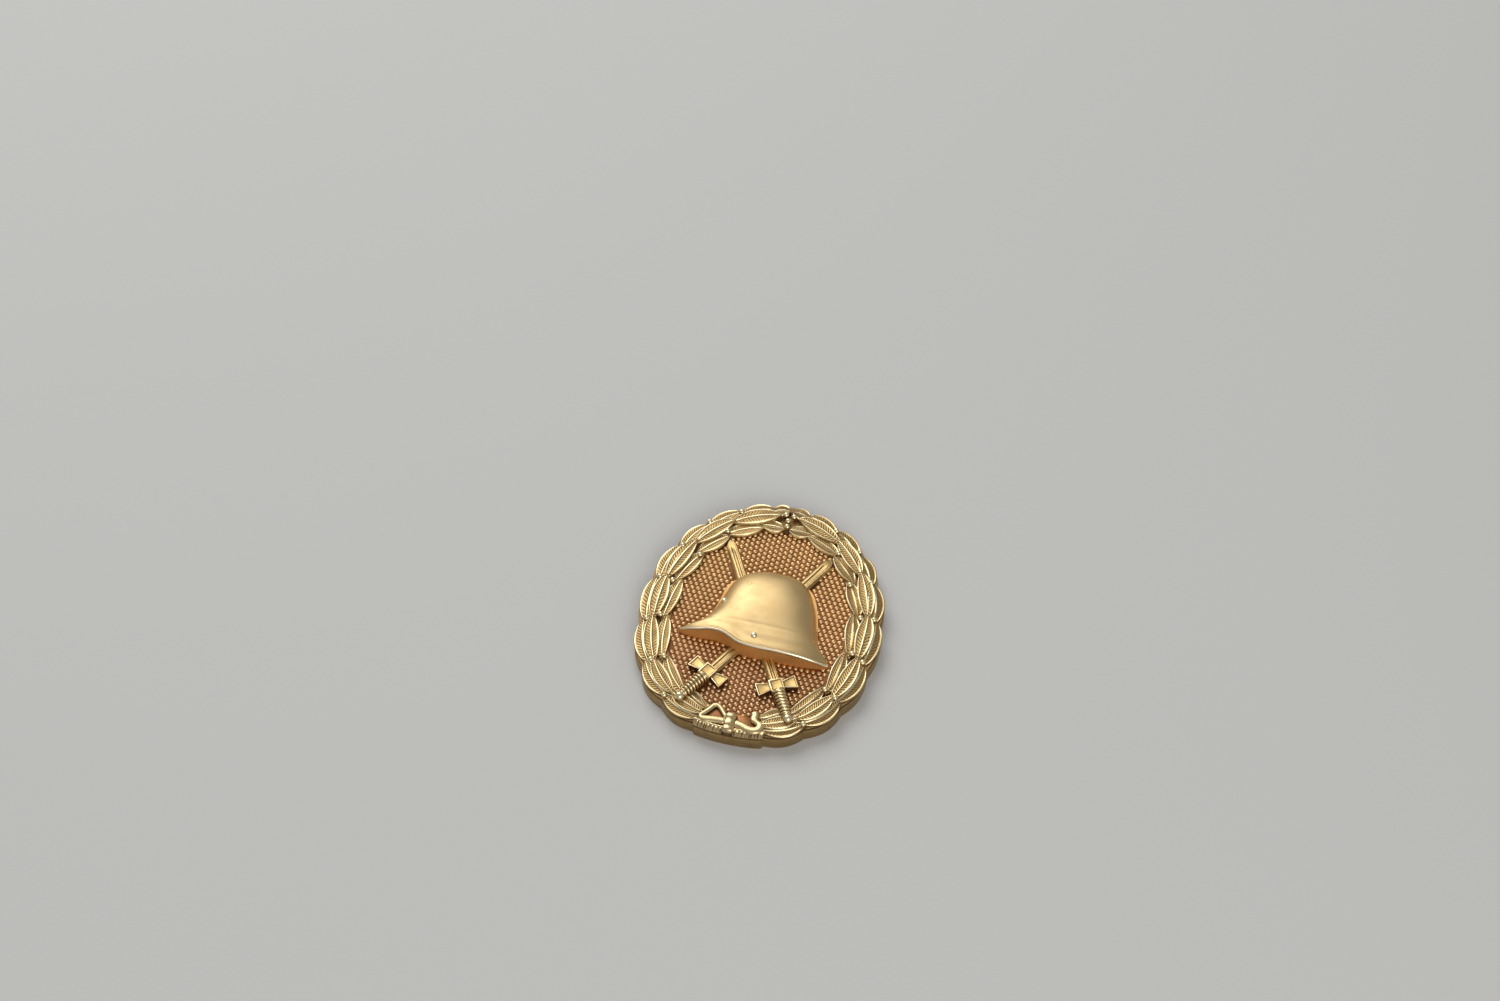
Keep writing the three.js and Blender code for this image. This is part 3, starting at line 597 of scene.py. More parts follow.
def make_gilding_group():
    """Gilding lightened on crests (rubbed gilt and painted highlight), browned in grooves and near
    the field (patina and painted shade), and mottled all over.
    """
    group, start, end = new_group(
        "Gilding",
        {
            "Relief": "Float", "Crest": "Color", "Body": "Color", "Recess": "Color",
            "Low": "Float", "High": "Float", "Mottle": "Float",
        },
        {"Color": "Color", "Roughness": "Float", "Height": "Float"},
    )
    place, parts = object_place(group)
    rise = group.nodes.new("ShaderNodeMapRange")
    feed(group, rise.inputs["Value"], parts["Z"])
    feed(group, rise.inputs["From Min"], start["Low"])
    feed(group, rise.inputs["From Max"], start["High"])
    height = rise.outputs[0]
    clouds = noise(group, CLOUD_SCALE, 3, place)
    specks = noise(group, SPECK_SCALE, 2, place)
    speckled = mapped(group, specks, 0.3, 0.7, -0.05, 0.05)
    relief = math_node(group, "ADD", start["Relief"], speckled)
    # Sunk and low-lying metal takes the recess tone: patina, and painted shade near the field.
    unsunk, above_patina_and_shade = mapped(group, relief, 0.24, 0.48), mapped(group, height, 0, 0.6)
    open_metal = math_node(group, "MULTIPLY", unsunk, above_patina_and_shade)
    # Raised edges high up take the crest tone: rubbed gilt, and painted highlight.
    on_edges, high_up = mapped(group, relief, 0.54, 0.8), mapped(group, height, 0.1, 0.8)
    crest = math_node(group, "MULTIPLY", on_edges, high_up)
    cloudy = math_node(group, "MULTIPLY", mapped(group, clouds, 0.45, 0.7), start["Mottle"])
    colour = mixed(group, open_metal, start["Recess"], start["Body"])
    colour = mixed(group, cloudy, colour, start["Recess"])
    feed(group, end["Color"], mixed(group, crest, colour, start["Crest"]))
    even = mapped(group, open_metal, 0, 1, 0.62, 0.4)
    dull = math_node(group, "MULTIPLY", even, mapped(group, clouds, 0.3, 0.7, 0.9, 1.1))
    polished = math_node(group, "SUBTRACT", dull, mapped(group, crest, 0, 1, 0, 0.1))
    feed(group, end["Roughness"], polished)
    rough = math_node(group, "ADD", specks, mapped(group, clouds, 0, 1, 0, 0.5))
    feed(group, end["Height"], rough)


def make_scratch_group():
    """Fine hairline scratches in two directions, as a height."""
    group, start, end = new_group("Hairlines", {"Strength": "Float"}, {"Height": "Float"})
    place, _ = object_place(group)
    lines = []
    for turn, squeeze in ((0.5, 30), (-0.9, 45)):
        mapping = group.nodes.new("ShaderNodeMapping")
        feed(group, mapping.inputs["Vector"], place)
        feed(group, mapping.inputs["Rotation"], (0, 0, turn))
        feed(group, mapping.inputs["Scale"], (1, squeeze, 1))
        streaks = noise(group, HAIRLINE_SCALE, 2, mapping.outputs[0])
        lines.append(mapped(group, streaks, 0.62, 0.72))
    total = math_node(group, "ADD", *lines)
    feed(group, end["Height"], math_node(group, "MULTIPLY", total, start["Strength"]))


def gilt_material(name, tones, patina_and_shade, mottle, grain, scratches=0.0, shine=0.0, foot=None):
    """A metal whose crest, body and recess tones follow the relief.

    The recess tone, partly patina and partly painted shade, is thick at the first height, in mm,
    and ends at the second. Foot tints the lower end.
    """
    crest, body, recess = tones
    material = bpy.data.materials.new(name)
    material.use_nodes = True
    tree = material.node_tree
    shader = tree.nodes["Principled BSDF"]
    shader.inputs["Metallic"].default_value = 1.0
    relief = tree.nodes.new("ShaderNodeAttribute")
    relief.attribute_name = "relief"
    group = tree.nodes.new("ShaderNodeGroup")
    group.node_tree = bpy.data.node_groups["Gilding"]
    low, high = (height * MM for height in patina_and_shade)
    if foot:
        upwards = mapped(tree, object_place(tree)[1]["Y"], FOOT_TINT[0] * MM, FOOT_TINT[1] * MM)
        body = mixed(tree, upwards, foot, body)
    values = (relief.outputs["Fac"], crest, body, recess, low, high, mottle)
    for socket, value in zip(group.inputs, values):
        feed(tree, socket, value)
    feed(tree, shader.inputs["Base Color"], group.outputs["Color"])
    roughness = math_node(tree, "SUBTRACT", group.outputs["Roughness"], shine)
    feed(tree, shader.inputs["Roughness"], roughness)
    height = group.outputs["Height"]
    if scratches:
        hairlines = tree.nodes.new("ShaderNodeGroup")
        hairlines.node_tree = bpy.data.node_groups["Hairlines"]
        hairlines.inputs["Strength"].default_value = scratches
        height = math_node(tree, "SUBTRACT", height, hairlines.outputs["Height"])
    fine_bump = tree.nodes.new("ShaderNodeBump")
    for label, value in (("Strength", grain), ("Distance", FINE_BUMP * MM), ("Height", height)):
        feed(tree, fine_bump.inputs[label], value)
    feed(tree, shader.inputs["Normal"], fine_bump.outputs["Normal"])


def blended(a, b, share):
    """The colour a share of the way from one to another."""
    return tuple(lerp(x, y, share) for x, y in zip(a, b))


def tinted(colour, red, green, blue):
    return tuple(a * b for a, b in zip(colour, (red, green, blue, 1)))


def make_materials(colours):
    make_gilding_group()
    make_scratch_group()
    crest, body, recess, copper, back, steel = (
        tuple(getattr(colours, name))
        for name in ("gilt_crest", "gilt_body", "gilt_recess", "copper", "back", "steel")
    )
    # Copper darkened as painted shade, between the grains (partly patina) and on the loops' inner
    # faces.
    shade = tinted(copper, 0.31, 0.24, 0.28)
    # Copper lightened towards the crest tone: painted highlight on the grain tops.
    bead = blended(copper, crest, 0.55)
    pale = blended(body, crest, 0.35)
    satin = blended(blended(body, crest, 0.26), copper, 0.1)
    # Near-white painted highlight for the helmet's bead and wall top.
    bright = blended(crest, (1, 1, 1, 1), 0.22)
    # Gilt darkened as painted shade for the base's outer wall.
    wall = blended(body, recess, 0.12)
    foot = tinted(copper, 0.7, 0.6, 0.85)
    gilt_material("Gilt leaves", (crest, body, recess), (2.4, 3.1), 0.25, 0.5)
    gilt_material("Gilt bow", (crest, pale, recess), (2.4, 3.0), 0.15, 0.4, shine=0.08)
    gilt_material("Gilt swords", (crest, body, recess), (2.3, 2.8), 0.2, 0.4, 0.3, 0.05)
    # Helmet: painted highlight on its bead, painted reflection of the copper field low on its wall.
    gilt_material("Gilt helmet", (bright, satin, copper), (2.55, 3.3), 0.12, 0.25, 0.5, -0.08)
    # Base: painted shade all over, with no bright crest.
    gilt_material("Gilt base", (wall, wall, recess), (2.45, 1.7), 0.25, 0.4)
    # Field: painted highlight on the grain tops, painted shade between them.
    gilt_material("Copper field", (bead, copper, shade), (2.3, 2.6), 0.3, 0.5, foot=foot)
    # Loops' inner faces: painted shade all over.
    gilt_material("Copper panel", (shade, shade, recess), (2.3, 3.3), 0.5, 0.7)
    gilt_material("Brass back", (crest, back, recess), (-1, 0), 0.3, 0.4, 0.5)
    gilt_material("Pin steel", (steel, steel, recess), (-1, 0), 0.2, 0.3, 0.8, 0.1)


# Base, field and wreath


def make_base():
    """Struck base: open hollow behind, upright wall, flat field."""
    piece = slab(oval_loop(lambda angle, swell: swell), 0, FIELD_Z, 0.06)
    edit(piece, "FACE", lambda face: face.normal.z < -0.99 and face.area > 100)
    bpy.ops.mesh.inset(thickness=RIM_WIDTH)
    bpy.ops.mesh.extrude_region_move(TRANSFORM_OT_translate={"value": (0, 0, HOLLOW_TOP)})
    leave_edit()
    bevel_level(piece, HOLLOW_TOP, 0.25, 3)
    bevel_level(piece, 0, 0.08, 2)
    return piece


def sheet_blank(columns, rows):
    """A sheet from -1 to 1 across and 0 to 1 along, whose border goes down to a closed foot."""
    piece = added(
        bpy.ops.mesh.primitive_grid_add, x_subdivisions=columns, y_subdivisions=rows, size=2
    )
    reshape(piece, lambda co: Vector((co.x, (co.y + 1) / 2, 1)))
    places = [v.co.copy() for v in piece.data.vertices]

    def on_border(edge):
        a, b = (places[v] for v in edge.vertices)
        return max(a.y, b.y) < 0.0001 or min(a.y, b.y) > 0.9999 or abs(a.x + b.x) > 1.9999

    edit(piece, "EDGE", on_border)
    bpy.ops.mesh.extrude_edges_move(TRANSFORM_OT_translate={"value": (0, 0, -1)})
    bpy.ops.mesh.edge_face_add()
    leave_edit()
    return facing_out(piece)


def leaf_relief(sizes, across, along):
    """How high a leaf's surface is above its edge, in mm, and how much brighter it is painted:
    rubbed and with painted highlight on rim and midrib, a little darker between.
    """
    fade = max(sin(pi * along), 0) ** 0.5
    rim = smoothstep(across, *RIM_START) - 0.5 * smoothstep(across, *RIM_FALL)
    midrib = 1 - smoothstep(across, *MIDRIB_EDGE)
    open_part = smoothstep(across, *VEINS_START) * (1 - smoothstep(across, *VEINS_END))
    vein = cos(tau * sizes.leaf_veins * along) * open_part
    raised = sizes.leaf_rim * rim + sizes.leaf_midrib * midrib + sizes.leaf_vein * vein
    crown = sizes.leaf_crown * (1 - across ** 2.4) * fade
    height = (crown + raised * smoothstep(fade, 0.15, 0.5)) / MM
    # Rim and midrib painted brighter, partly rubbing and partly painted highlight.
    return height, 0.3 * max(rim, midrib) + 0.06 * vein - 0.1 * open_part


def make_leaf_blank(sizes):
    """One straight leaf. Its rows run along the slanting veins."""
    piece = sheet_blank(24, 4 * sizes.leaf_veins)
    wear_and_highlight = []

    def move(co):
        across = co.x - 0.13 * sin(tau * co.x)
        height, extra_brightening = leaf_relief(sizes, abs(across), co.y)
        wear_and_highlight.append(extra_brightening)
        along = co.y + 0.5 * abs(across) * co.y * (1 - co.y)
        return Vector((across, along, height if co.z > 0.5 else -1))

    return mark_wear_and_highlight(reshape(piece, move), wear_and_highlight)


def leaf_bend(side, row, start, end):
    """How a straight leaf is laid round the oval."""
    _, (at_base, at_middle, at_tip), half_width, edge, slope = row

    def move(co):
        angle = lerp(start, end, co.y)
        scale = band_scale(angle)
        swing = sin(pi * min(max(co.y, 0), 1) ** 1.05)
        half = max(half_width * scale * max(swing, 0) ** 0.72, 0.04)
        bend = 2 * at_middle - (at_base + at_tip) / 2
        sway = at_base * (1 - co.y) ** 2 + 2 * bend * co.y * (1 - co.y) + at_tip * co.y ** 2
        x, y = oval_point(angle, side, sway * scale + co.x * half)
        if co.z <= -1:
            return Vector((x, y, FIELD_Z))
        rise = edge + LEAF_LIFT * (2 * co.y - 1) + slope * co.x * half + co.z
        return Vector((x, y, FIELD_Z + rise))

    return move


def make_garland(side, sizes):
    """One half of the wreath: band, three rows of lapped leaves, berries."""
    blank = make_leaf_blank(sizes)
    pieces = []
    for row in LEAF_ROWS:
        stops = [BOW_ANGLE, *row[0]]
        for start, end in zip(stops, stops[1:]):
            pieces.append(copied(blank, leaf_bend(side, row, start - LEAF_LAP, end + LEAF_LAP)))
    band = sheet_blank(4, 320)

    def lay_band(co):
        angle = lerp(BOW_ANGLE, 180, co.y)
        scale = band_scale(angle)
        inner = (LEAF_SWELL - BAND_WIDTH) * scale
        x, y = oval_point(angle, side, lerp(inner, swell_at(angle) - 0.1, (co.x + 1) / 2))
        return Vector((x, y, FIELD_Z + BAND_THICKNESS * co.z))

    pieces.append(reshape(band, lay_band))
    bead = mark_wear_and_highlight(ball(BERRY_RADIUS, (0, 0, 0)), 0.2)
    spots = [
        oval_point(angle, side, offset)
        for angles, offsets in BERRIES
        for angle, offset in zip(angles, offsets)
    ]
    spots += [(x, -FOOT_Y - down) for x, down in TOP_BERRIES if x * side > 0]
    for x, y in spots:
        place = Vector((x, y, FIELD_Z + BERRY_LIFT))
        pieces.append(copied(bead, lambda co, place=place: co + place))
    for spare in (blank, bead):
        bpy.data.objects.remove(spare)
    return joined(pieces, "garland")


def grain_spots(sizes):
    """Places of the grains: upright rows above and below the crossing, level rows beside it."""
    helmet = [tuple(p) for p in helmet_edge(4)]
    pitch = sizes.grain_pitch / MM
    step = pitch * math.sqrt(3) / 2
    spots = []
    for row in range(-30, 31):
        for column in range(-30, 31):
            along, across = (column + 0.5 * (row % 2)) * pitch, row * step
            for turned, (x, y) in ((False, (along, across)), (True, (across, along))):
                between = abs(x) < abs(y - CROSSING_Y) * math.tan(radians(SWORD_ANGLE))
                if turned == between and not in_outline(x, y, helmet) and on_field(x, y):
                    spots.append((x, y))
    return spots


def on_field(x, y):
    """Whether a spot is inside the wreath and not under a sword."""
    angle = math.degrees(math.atan2(abs(x), -y))
    inner = (LEAF_SWELL - BAND_WIDTH) * band_scale(angle)
    by_bow = abs(x) < BOW_HALF_WIDTH - 0.6 and GRAINS_FOOT_Y < y < 0
    outwards = math.hypot(x / (OVAL_HALF_WIDTH + inner), y / (OVAL_HALF_HEIGHT + inner))
    if outwards > 1 and not by_bow:
        return False
    for side in (-1, 1):
        turn = radians(side * SWORD_ANGLE)
        across = x * cos(turn) + (y - CROSSING_Y) * sin(turn)
        along = -x * sin(turn) + (y - CROSSING_Y) * cos(turn)
        at_guard = abs(along + GUARD_REACH) < GUARD_NECK / 2
        half = GUARD_HALF_SPAN if at_guard else BLADE_HALF_WIDTH
        if abs(across) < half - 0.1 and along < TIP_REACH:
            return False
    return True


def make_grains(sizes):
    """The beaded ground of the field: one grain, copied over a lattice."""
    grain = ball(1, (0, 0, 0), segments=10, rings=6)
    edit(grain, "VERT", lambda v: v.co.z < GRAIN_CUT)
    bpy.ops.mesh.delete(type="VERT")
    bpy.ops.mesh.select_non_manifold()
    bpy.ops.mesh.edge_face_add()
    leave_edit()
    facing_out(grain)
    half, high = sizes.grain_width / 2 / MM, sizes.grain_height / MM
    size = Vector((half, half, high))
    pieces = []
    for x, y in grain_spots(sizes):
        place = Vector((x, y, FIELD_Z))
        pieces.append(copied(grain, lambda co, place=place: co * size + place))
    bpy.data.objects.remove(grain)

    def reach(angle, swell):
        return -0.8 if angle <= BOW_ANGLE else (LEAF_SWELL - BAND_WIDTH) * band_scale(angle) + 0.3

    ground = slab(oval_loop(reach), FIELD_Z - 0.1, FIELD_Z + 0.02)
    return joined([ground, *pieces], "grains")


# Ribbon bow


def ribbon_strip(path, width_at, low, high):
    """A rounded band of ribbon along a path. Width_at gives its width for a share of the way."""
    corners = rounded(path)
    lengths = [0.0]
    for a, b in zip(corners, corners[1:]):
        lengths.append(lengths[-1] + (b - a).length)
    stations, sides = 60, 16

    def point_at(share):
        reach = min(max(share, 0), 1) * lengths[-1]
        i = next(i for i in range(len(corners) - 1) if reach <= lengths[i + 1] + 1e-6)
        part = (reach - lengths[i]) / max(lengths[i + 1] - lengths[i], 1e-6)
        return corners[i].lerp(corners[i + 1], part)

    def place(ring, side):
        share = ring / (stations - 1)
        ahead = point_at(share + 0.02) - point_at(share - 0.02)
        sideways = Vector((ahead.y, -ahead.x)).normalized()
        from_end = min(share, 1 - share) * lengths[-1] / 0.3
        fullness = max(1 - max(1 - from_end, 0) ** 2, 0.01) ** 0.5
        turn = tau * side / sides
        out, up = signed_power(cos(turn), 0.7), signed_power(sin(turn), 0.7)
        spot = point_at(share) + sideways * (width_at(share) / 2 * out * fullness)
        return spot.x, spot.y, lerp(low, high, 0.5 + 0.5 * up * fullness)

    return barrel(sides, stations, place)


# The bow: height of its loops and their inner faces above the field, drop of its ribbon ends, and
# paths of the ribbon in X and height above the badge's foot
LOOP_HEIGHT = 1.1
PANEL_HEIGHT = 0.5
RIBBON_END_LENGTH = 1.15
LEFT_LOOP = (
    (-0.6, 2.05), (-2.2, 2.0), (-4.3, 1.65), (-4.55, 2.3), (-3.7, 3.1), (-2.6, 5.0), (-0.6, 2.6),
)
LEFT_PANEL = ((-0.6, 2.0), (-3.9, 1.9), (-3.7, 2.9), (-2.6, 4.5), (-0.6, 2.8))
RIGHT_LOOP = (
    (0.6, 2.05), (2.0, 1.85), (3.1, 1.35), (4.3, 1.5), (4.7, 2.5), (3.8, 3.0), (3.35, 3.3),
    (3.5, 4.0), (3.1, 4.75),
)
RIGHT_PANEL = ((0.6, 1.9), (3.6, 1.8), (3.9, 2.4), (3.2, 3.3), (2.85, 3.75), (0.6, 3.85))


def on_foot(corners):
    return [(x, FOOT_Y + y) for x, y in corners]


def make_knot():
    """A band wound three times round the middle of the bow."""
    rings, sides = 65, 24

    def place(ring, side):
        share = ring / (rings - 1)
        full = abs(sin(3 * pi * share)) ** 0.4
        end = max(1 - (2 * share - 1) ** 8, 0.02) ** 0.5
        turn = tau * side / sides
        x = signed_power(cos(turn), 0.45) * lerp(0.86, 0.95, full)
        z = signed_power(sin(turn), 0.8) * lerp(0.95, 1.15, full)
        return x * end, FOOT_Y + lerp(-0.03, 3.75, share), FIELD_Z + max(0.3 + z * end, -0.1)

    return barrel(sides, rings, place)


def make_skirt(side):
    """A pleated ribbon end below a loop."""
    piece = sheet_blank(72, 8)

    def move(co):
        share = (co.x + 1) / 2
        angle = lerp(1.6, BOW_ANGLE + 0.6, share)
        x, y = oval_point(angle, side, LEAF_SWELL - 0.03)
        if co.z < 0.5:
            return Vector((x, y + RIBBON_END_LENGTH * co.y, FIELD_Z))
        turns = 9 * share + 0.22 * sin(11 * share) + 0.15 * sin(23 * share)
        pleat = 0.09 * cos(tau * turns) * smoothstep(0.85 - co.y, 0, 0.3)
        roll = 0.2 * bump(co.y, 0.8, 0.25)
        rise = lerp(0.35, 0.75, co.y) + roll + pleat
        return Vector((x, y + RIBBON_END_LENGTH * co.y, FIELD_Z + rise))

    return reshape(piece, move)


def make_bow():
    """Knot, two bent loops and two pleated ends."""
    low, high = FIELD_Z, FIELD_Z + LOOP_HEIGHT

    def left_width(share):
        return lerp(1.25, 0.8, smoothstep(share, 0.3, 0.42))

    def right_width(share):
        return 1.35 - 0.35 * bump(share, 0.72, 0.1) - 0.15 * smoothstep(share, 0.8, 1)

    left = ribbon_strip(on_foot(LEFT_LOOP), left_width, low, high)
    right = ribbon_strip(on_foot(RIGHT_LOOP), right_width, low, high)
    return joined([left, right, make_knot(), make_skirt(-1), make_skirt(1)], "bow")


def make_bow_panels():
    """The inner faces of the two loops, seen between their edges."""
    panels = [
        slab(on_foot(path), FIELD_Z, FIELD_Z + PANEL_HEIGHT, 0.05)
        for path in (LEFT_PANEL[::-1], RIGHT_PANEL)
    ]
    return joined(panels, "panels")


# Swords


def make_blade():
    """Double-edged blade with a fuller, from the guard to a blunt point."""
    piece = sheet_blank(24, 120)

    def move(co):
        y = lerp(-GUARD_REACH, TIP_REACH, co.y)
        point = min((TIP_REACH - y) / POINT_LENGTH, 1)
        half = BLADE_HALF_WIDTH * lerp(POINT_SHARE, 1, min(2.6 * point, 1) ** 0.8)
        across = abs(co.x)
        height = lerp(BLADE_HEIGHT, BLADE_EDGE_HEIGHT, smoothstep(across, 0.6, 1))
        fuller = (1 - smoothstep(across, 0.14, 0.34)) * smoothstep(TIP_REACH - y, 1.2, 3)
        height -= FULLER_DEPTH * fuller
        height -= 0.06 * bump(across, 0.6, 0.1)
        height -= 0.3 * (1 - point) ** 2
        return Vector((co.x * half, y, height if co.z > 0.5 else 0))

    return reshape(piece, move)


def make_guard():
    """Cross guard: a square block and two waisted arms, each with a sunk middle."""
    half, neck, flare, end = GUARD_BLOCK / 2, GUARD_NECK / 2, GUARD_FLARE / 2, GUARD_HALF_SPAN
    block = [(-half, -half), (half, -half), (half, half), (-half, half)]
    arm = [(half - 0.1, -neck), (end, -flare), (end, flare), (half - 0.1, neck)]
    other_arm = [(-x, y) for x, y in arm[::-1]]
    pieces = []
    for outline, height, border in (
        (block, BLOCK_HEIGHT, 0.2), (other_arm, GUARD_HEIGHT, 0.16), (arm, GUARD_HEIGHT, 0.16),
    ):
        piece = slab(outline, 0, height)
        sink_top(piece, height, border, border / 2, SUNK_DEPTH)
        rounded_edges(piece, 0.06)
        pieces.append(reshape(piece, lambda co: co + Vector((0, -GUARD_REACH, 0))))
    return pieces


def make_grip(sizes):
    """Twisted grip that tapers towards the pommel."""
    start, end = -GUARD_REACH - 0.95, -POMMEL_REACH + 0.5
    rings, sides = 96, 32

    def place(ring, side):
        share = ring / (rings - 1)
        turn = tau * side / sides
        radius = lerp(*GRIP_RADII, share) + GRIP_BELLY * sin(pi * share)
        strand = sizes.grip_starts / 2 * (turn + tau * sizes.grip_turns * share)
        radius += STRAND_DEPTH * (abs(cos(strand)) - 0.7)
        across, up = radius * cos(turn), radius * sin(turn)
        return across, lerp(start, end, share), GRIP_LIFT + GRIP_RISE * share + up

    # The grip's ribs are painted a little brighter, as painted highlight.
    return mark_wear_and_highlight(barrel(sides, rings, place), 0.08)


def make_pommel():
    """Ball end with collars at both ends of the grip."""
    middle = (0, -POMMEL_REACH, GRIP_LIFT + POMMEL_LIFT)
    # The pommel ball is painted brighter, as painted highlight.
    pieces = [mark_wear_and_highlight(ball(POMMEL_RADIUS, middle, segments=24, rings=16), 0.25)]
    for y, radius, lift in COLLARS:
        place = (0, y, GRIP_LIFT - 0.05 + lift)
        pieces.append(wire_ring(radius, COLLAR_WIRE, (32, 10), place, (pi / 2, 0, 0)))
    return pieces


def make_sword(side, sizes):
    """A sword at its slant, with the hilt low on its own side."""
    sword = joined([make_blade(), *make_guard(), make_grip(sizes), *make_pommel()], "sword")
    turn = Matrix.Rotation(radians(side * SWORD_ANGLE), 4, "Z")
    sword.data.transform(Matrix.Translation((0, CROSSING_Y, FIELD_Z)) @ turn)
    return sword


# Helmet


def lead_at(before, here, after, reach_in, reach_out):
    """Which way a smooth curve runs through a corner, for uneven distances to its neighbours."""
    whole = (after - before) / (reach_in + reach_out)
    return (here - before) / reach_in - whole + (after - here) / reach_out


def helmet_edge(per_corner):
    """The helmet's outline as a smooth closed curve through its corners."""
    corners = [Vector(p) for p in HELMET_OUTLINE]
    count = len(corners)
    points = []
    for i in range(count):
        before, a, b, after = (corners[(i + k) % count] for k in (-1, 0, 1, 2))
        reach = [max((q - p).length, 1e-6) ** 0.5 for p, q in ((before, a), (a, b), (b, after))]
        lead = lead_at(before, a, b, *reach[:2]) * reach[1]
        trail = lead_at(a, b, after, *reach[1:]) * reach[1]
        for j in range(per_corner):
            t = j / per_corner
            points.append(
                a * (2 * t ** 3 - 3 * t ** 2 + 1) + lead * (t ** 3 - 2 * t ** 2 + t)
                + b * (3 * t ** 2 - 2 * t ** 3) + trail * (t ** 3 - t ** 2)
            )
    return points


def helmet_height(place, rim, share, inwards, lip):
    """Height above the field at a place.

    Share says how far it is out towards a point of the rim, and inwards how far from the lower rim.
    """
    x, y = place
    down = max(4.4 - y, 0) / 9.9
    left = -6.4 - 5.2 * min(down, 1) ** 2.6
    right = 7.6 + 2.18 * down + 1.9 * (0.9 * down) ** 6
    across = abs(2 * x - left - right) / (right - left)
    up = max(y - 0.3, 0) / 8.4
    outwards = min(across ** DOME_POWER + up ** DOME_POWER, 1)
    dome = HELMET_EDGE + (HELMET_RISE - HELMET_EDGE) * (1 - outwards) ** (1 / DOME_POWER)
    edge = lerp(HELMET_TIP_RISE, HELMET_RIM, 1 - min(abs(x) / HELMET_HALF_LENGTH, 1) ** 4)
    height = lerp(dome, edge, smoothstep(-y, -0.5, 6))
    upper = 1 - smoothstep(-rim.y, 3.4, 5.6)
    rounding = HELMET_EDGE + (height - HELMET_EDGE) * max(1 - share ** 12, 0) ** 0.5
    bead = lip * (bump(inwards, BEAD_INSET, 0.3) - 0.35 * bump(inwards, 0.62, 0.25))
    hollow = HELMET_FLARE * bump(inwards, 1.5, 1.3) * min(edge / HELMET_RIM, 1)
    crease = CREASE_DEPTH * bump(y, CREASE_Y, 0.5)
    return lerp(height + bead - hollow - crease, rounding - crease, upper)


def make_helmet(sizes):
    """Smooth struck helmet with a bead along its lower edge and two vent lugs."""
    per_corner, rings = 10, 96
    edge = helmet_edge(per_corner)
    segments = len(edge)
    lip = sizes.helmet_lip / MM
    piece = ball(1, (0, 0, 0), 1.0, segments, rings)
    middle = Vector(HELMET_CENTRE)

    lower_rim = helmet_edge(60)[:60 * LEFT_TIP + 1]
    rim_tree = KDTree(len(lower_rim))
    for i, p in enumerate(lower_rim):
        rim_tree.insert((p.x, p.y, 0), i)
    rim_tree.balance()
    wear_and_highlight = []

    def from_rim(spot):
        return rim_tree.find((spot.x, spot.y, 0))[2]

    def move(co):
        polar = math.acos(min(max(co.z, -1), 1)) / (pi / 2)
        p = edge[round(-math.atan2(co.y, co.x) / tau * segments) % segments]
        if polar <= 1.0001:
            share = 1 - (1 - min(polar, 1)) ** 1.7
            spot = middle.lerp(p, share)
            inwards = from_rim(spot)
            # Painted highlight along the bead by the lower rim.
            wear_and_highlight.append(0.45 * bump(inwards, 0.1, 0.45))
            height = helmet_height(spot, p, share, inwards, lip)
            return Vector((spot.x, spot.y, FIELD_Z + height))
        top = helmet_height(p, p, 1, from_rim(p), lip)
        down = min((polar - 1) / 0.2, 1)
        # Painted highlight along the top of the wall under the lower rim.
        wear_and_highlight.append(0.35 * bump(top * down, 0, 0.5) * bump(from_rim(p), 0, 0.3))
        spot = p.lerp(middle, max((polar - 1.2) / 0.8, 0))
        return Vector((spot.x, spot.y, FIELD_Z + top * (1 - down)))

    mark_wear_and_highlight(reshape(piece, move), wear_and_highlight)

    def surface(x, y):
        direction = Vector((x, y)) - middle
        p = min(edge, key=lambda q: abs((q - middle).angle(direction)))
        share = direction.length / (p - middle).length
        return FIELD_Z + helmet_height((x, y), p, share, 9, 0)

    lugs = [
        mark_wear_and_highlight(ball(LUG_RADIUS, (x, y, surface(x, y) - 0.1), 0.8, 24, 16), 0.25) for x, y in LUGS
    ]
    vent = wire_ring(VENT_RADIUS, VENT_WIRE, (32, 8), VENT)
    reshape(vent, lambda co: Vector((co.x, co.y, co.z + surface(co.x, co.y) - 0.03)))
    mark_wear_and_highlight(vent, -0.5)
    return joined([piece, *lugs, vent], "helmet")


# Pin, hinge and catch


def from_frame(node, bevel):
    """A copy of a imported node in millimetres, merged, with its sharp edges softened."""
    source = bpy.data.objects[node]
    only(None)
    piece = source.copy()
    piece.data = source.data.copy()
    piece.name = node + "_softened"
    in_scene(piece)
    piece.data.transform(Matrix.Scale(1 / MM, 4))
    edit(piece, "FACE", lambda face: True)
    bpy.ops.mesh.remove_doubles(threshold=0.0005)
    bpy.ops.mesh.dissolve_limited(angle_limit=radians(1))
    leave_edit()
    rounded_edges(piece, bevel, 30)
    return piece


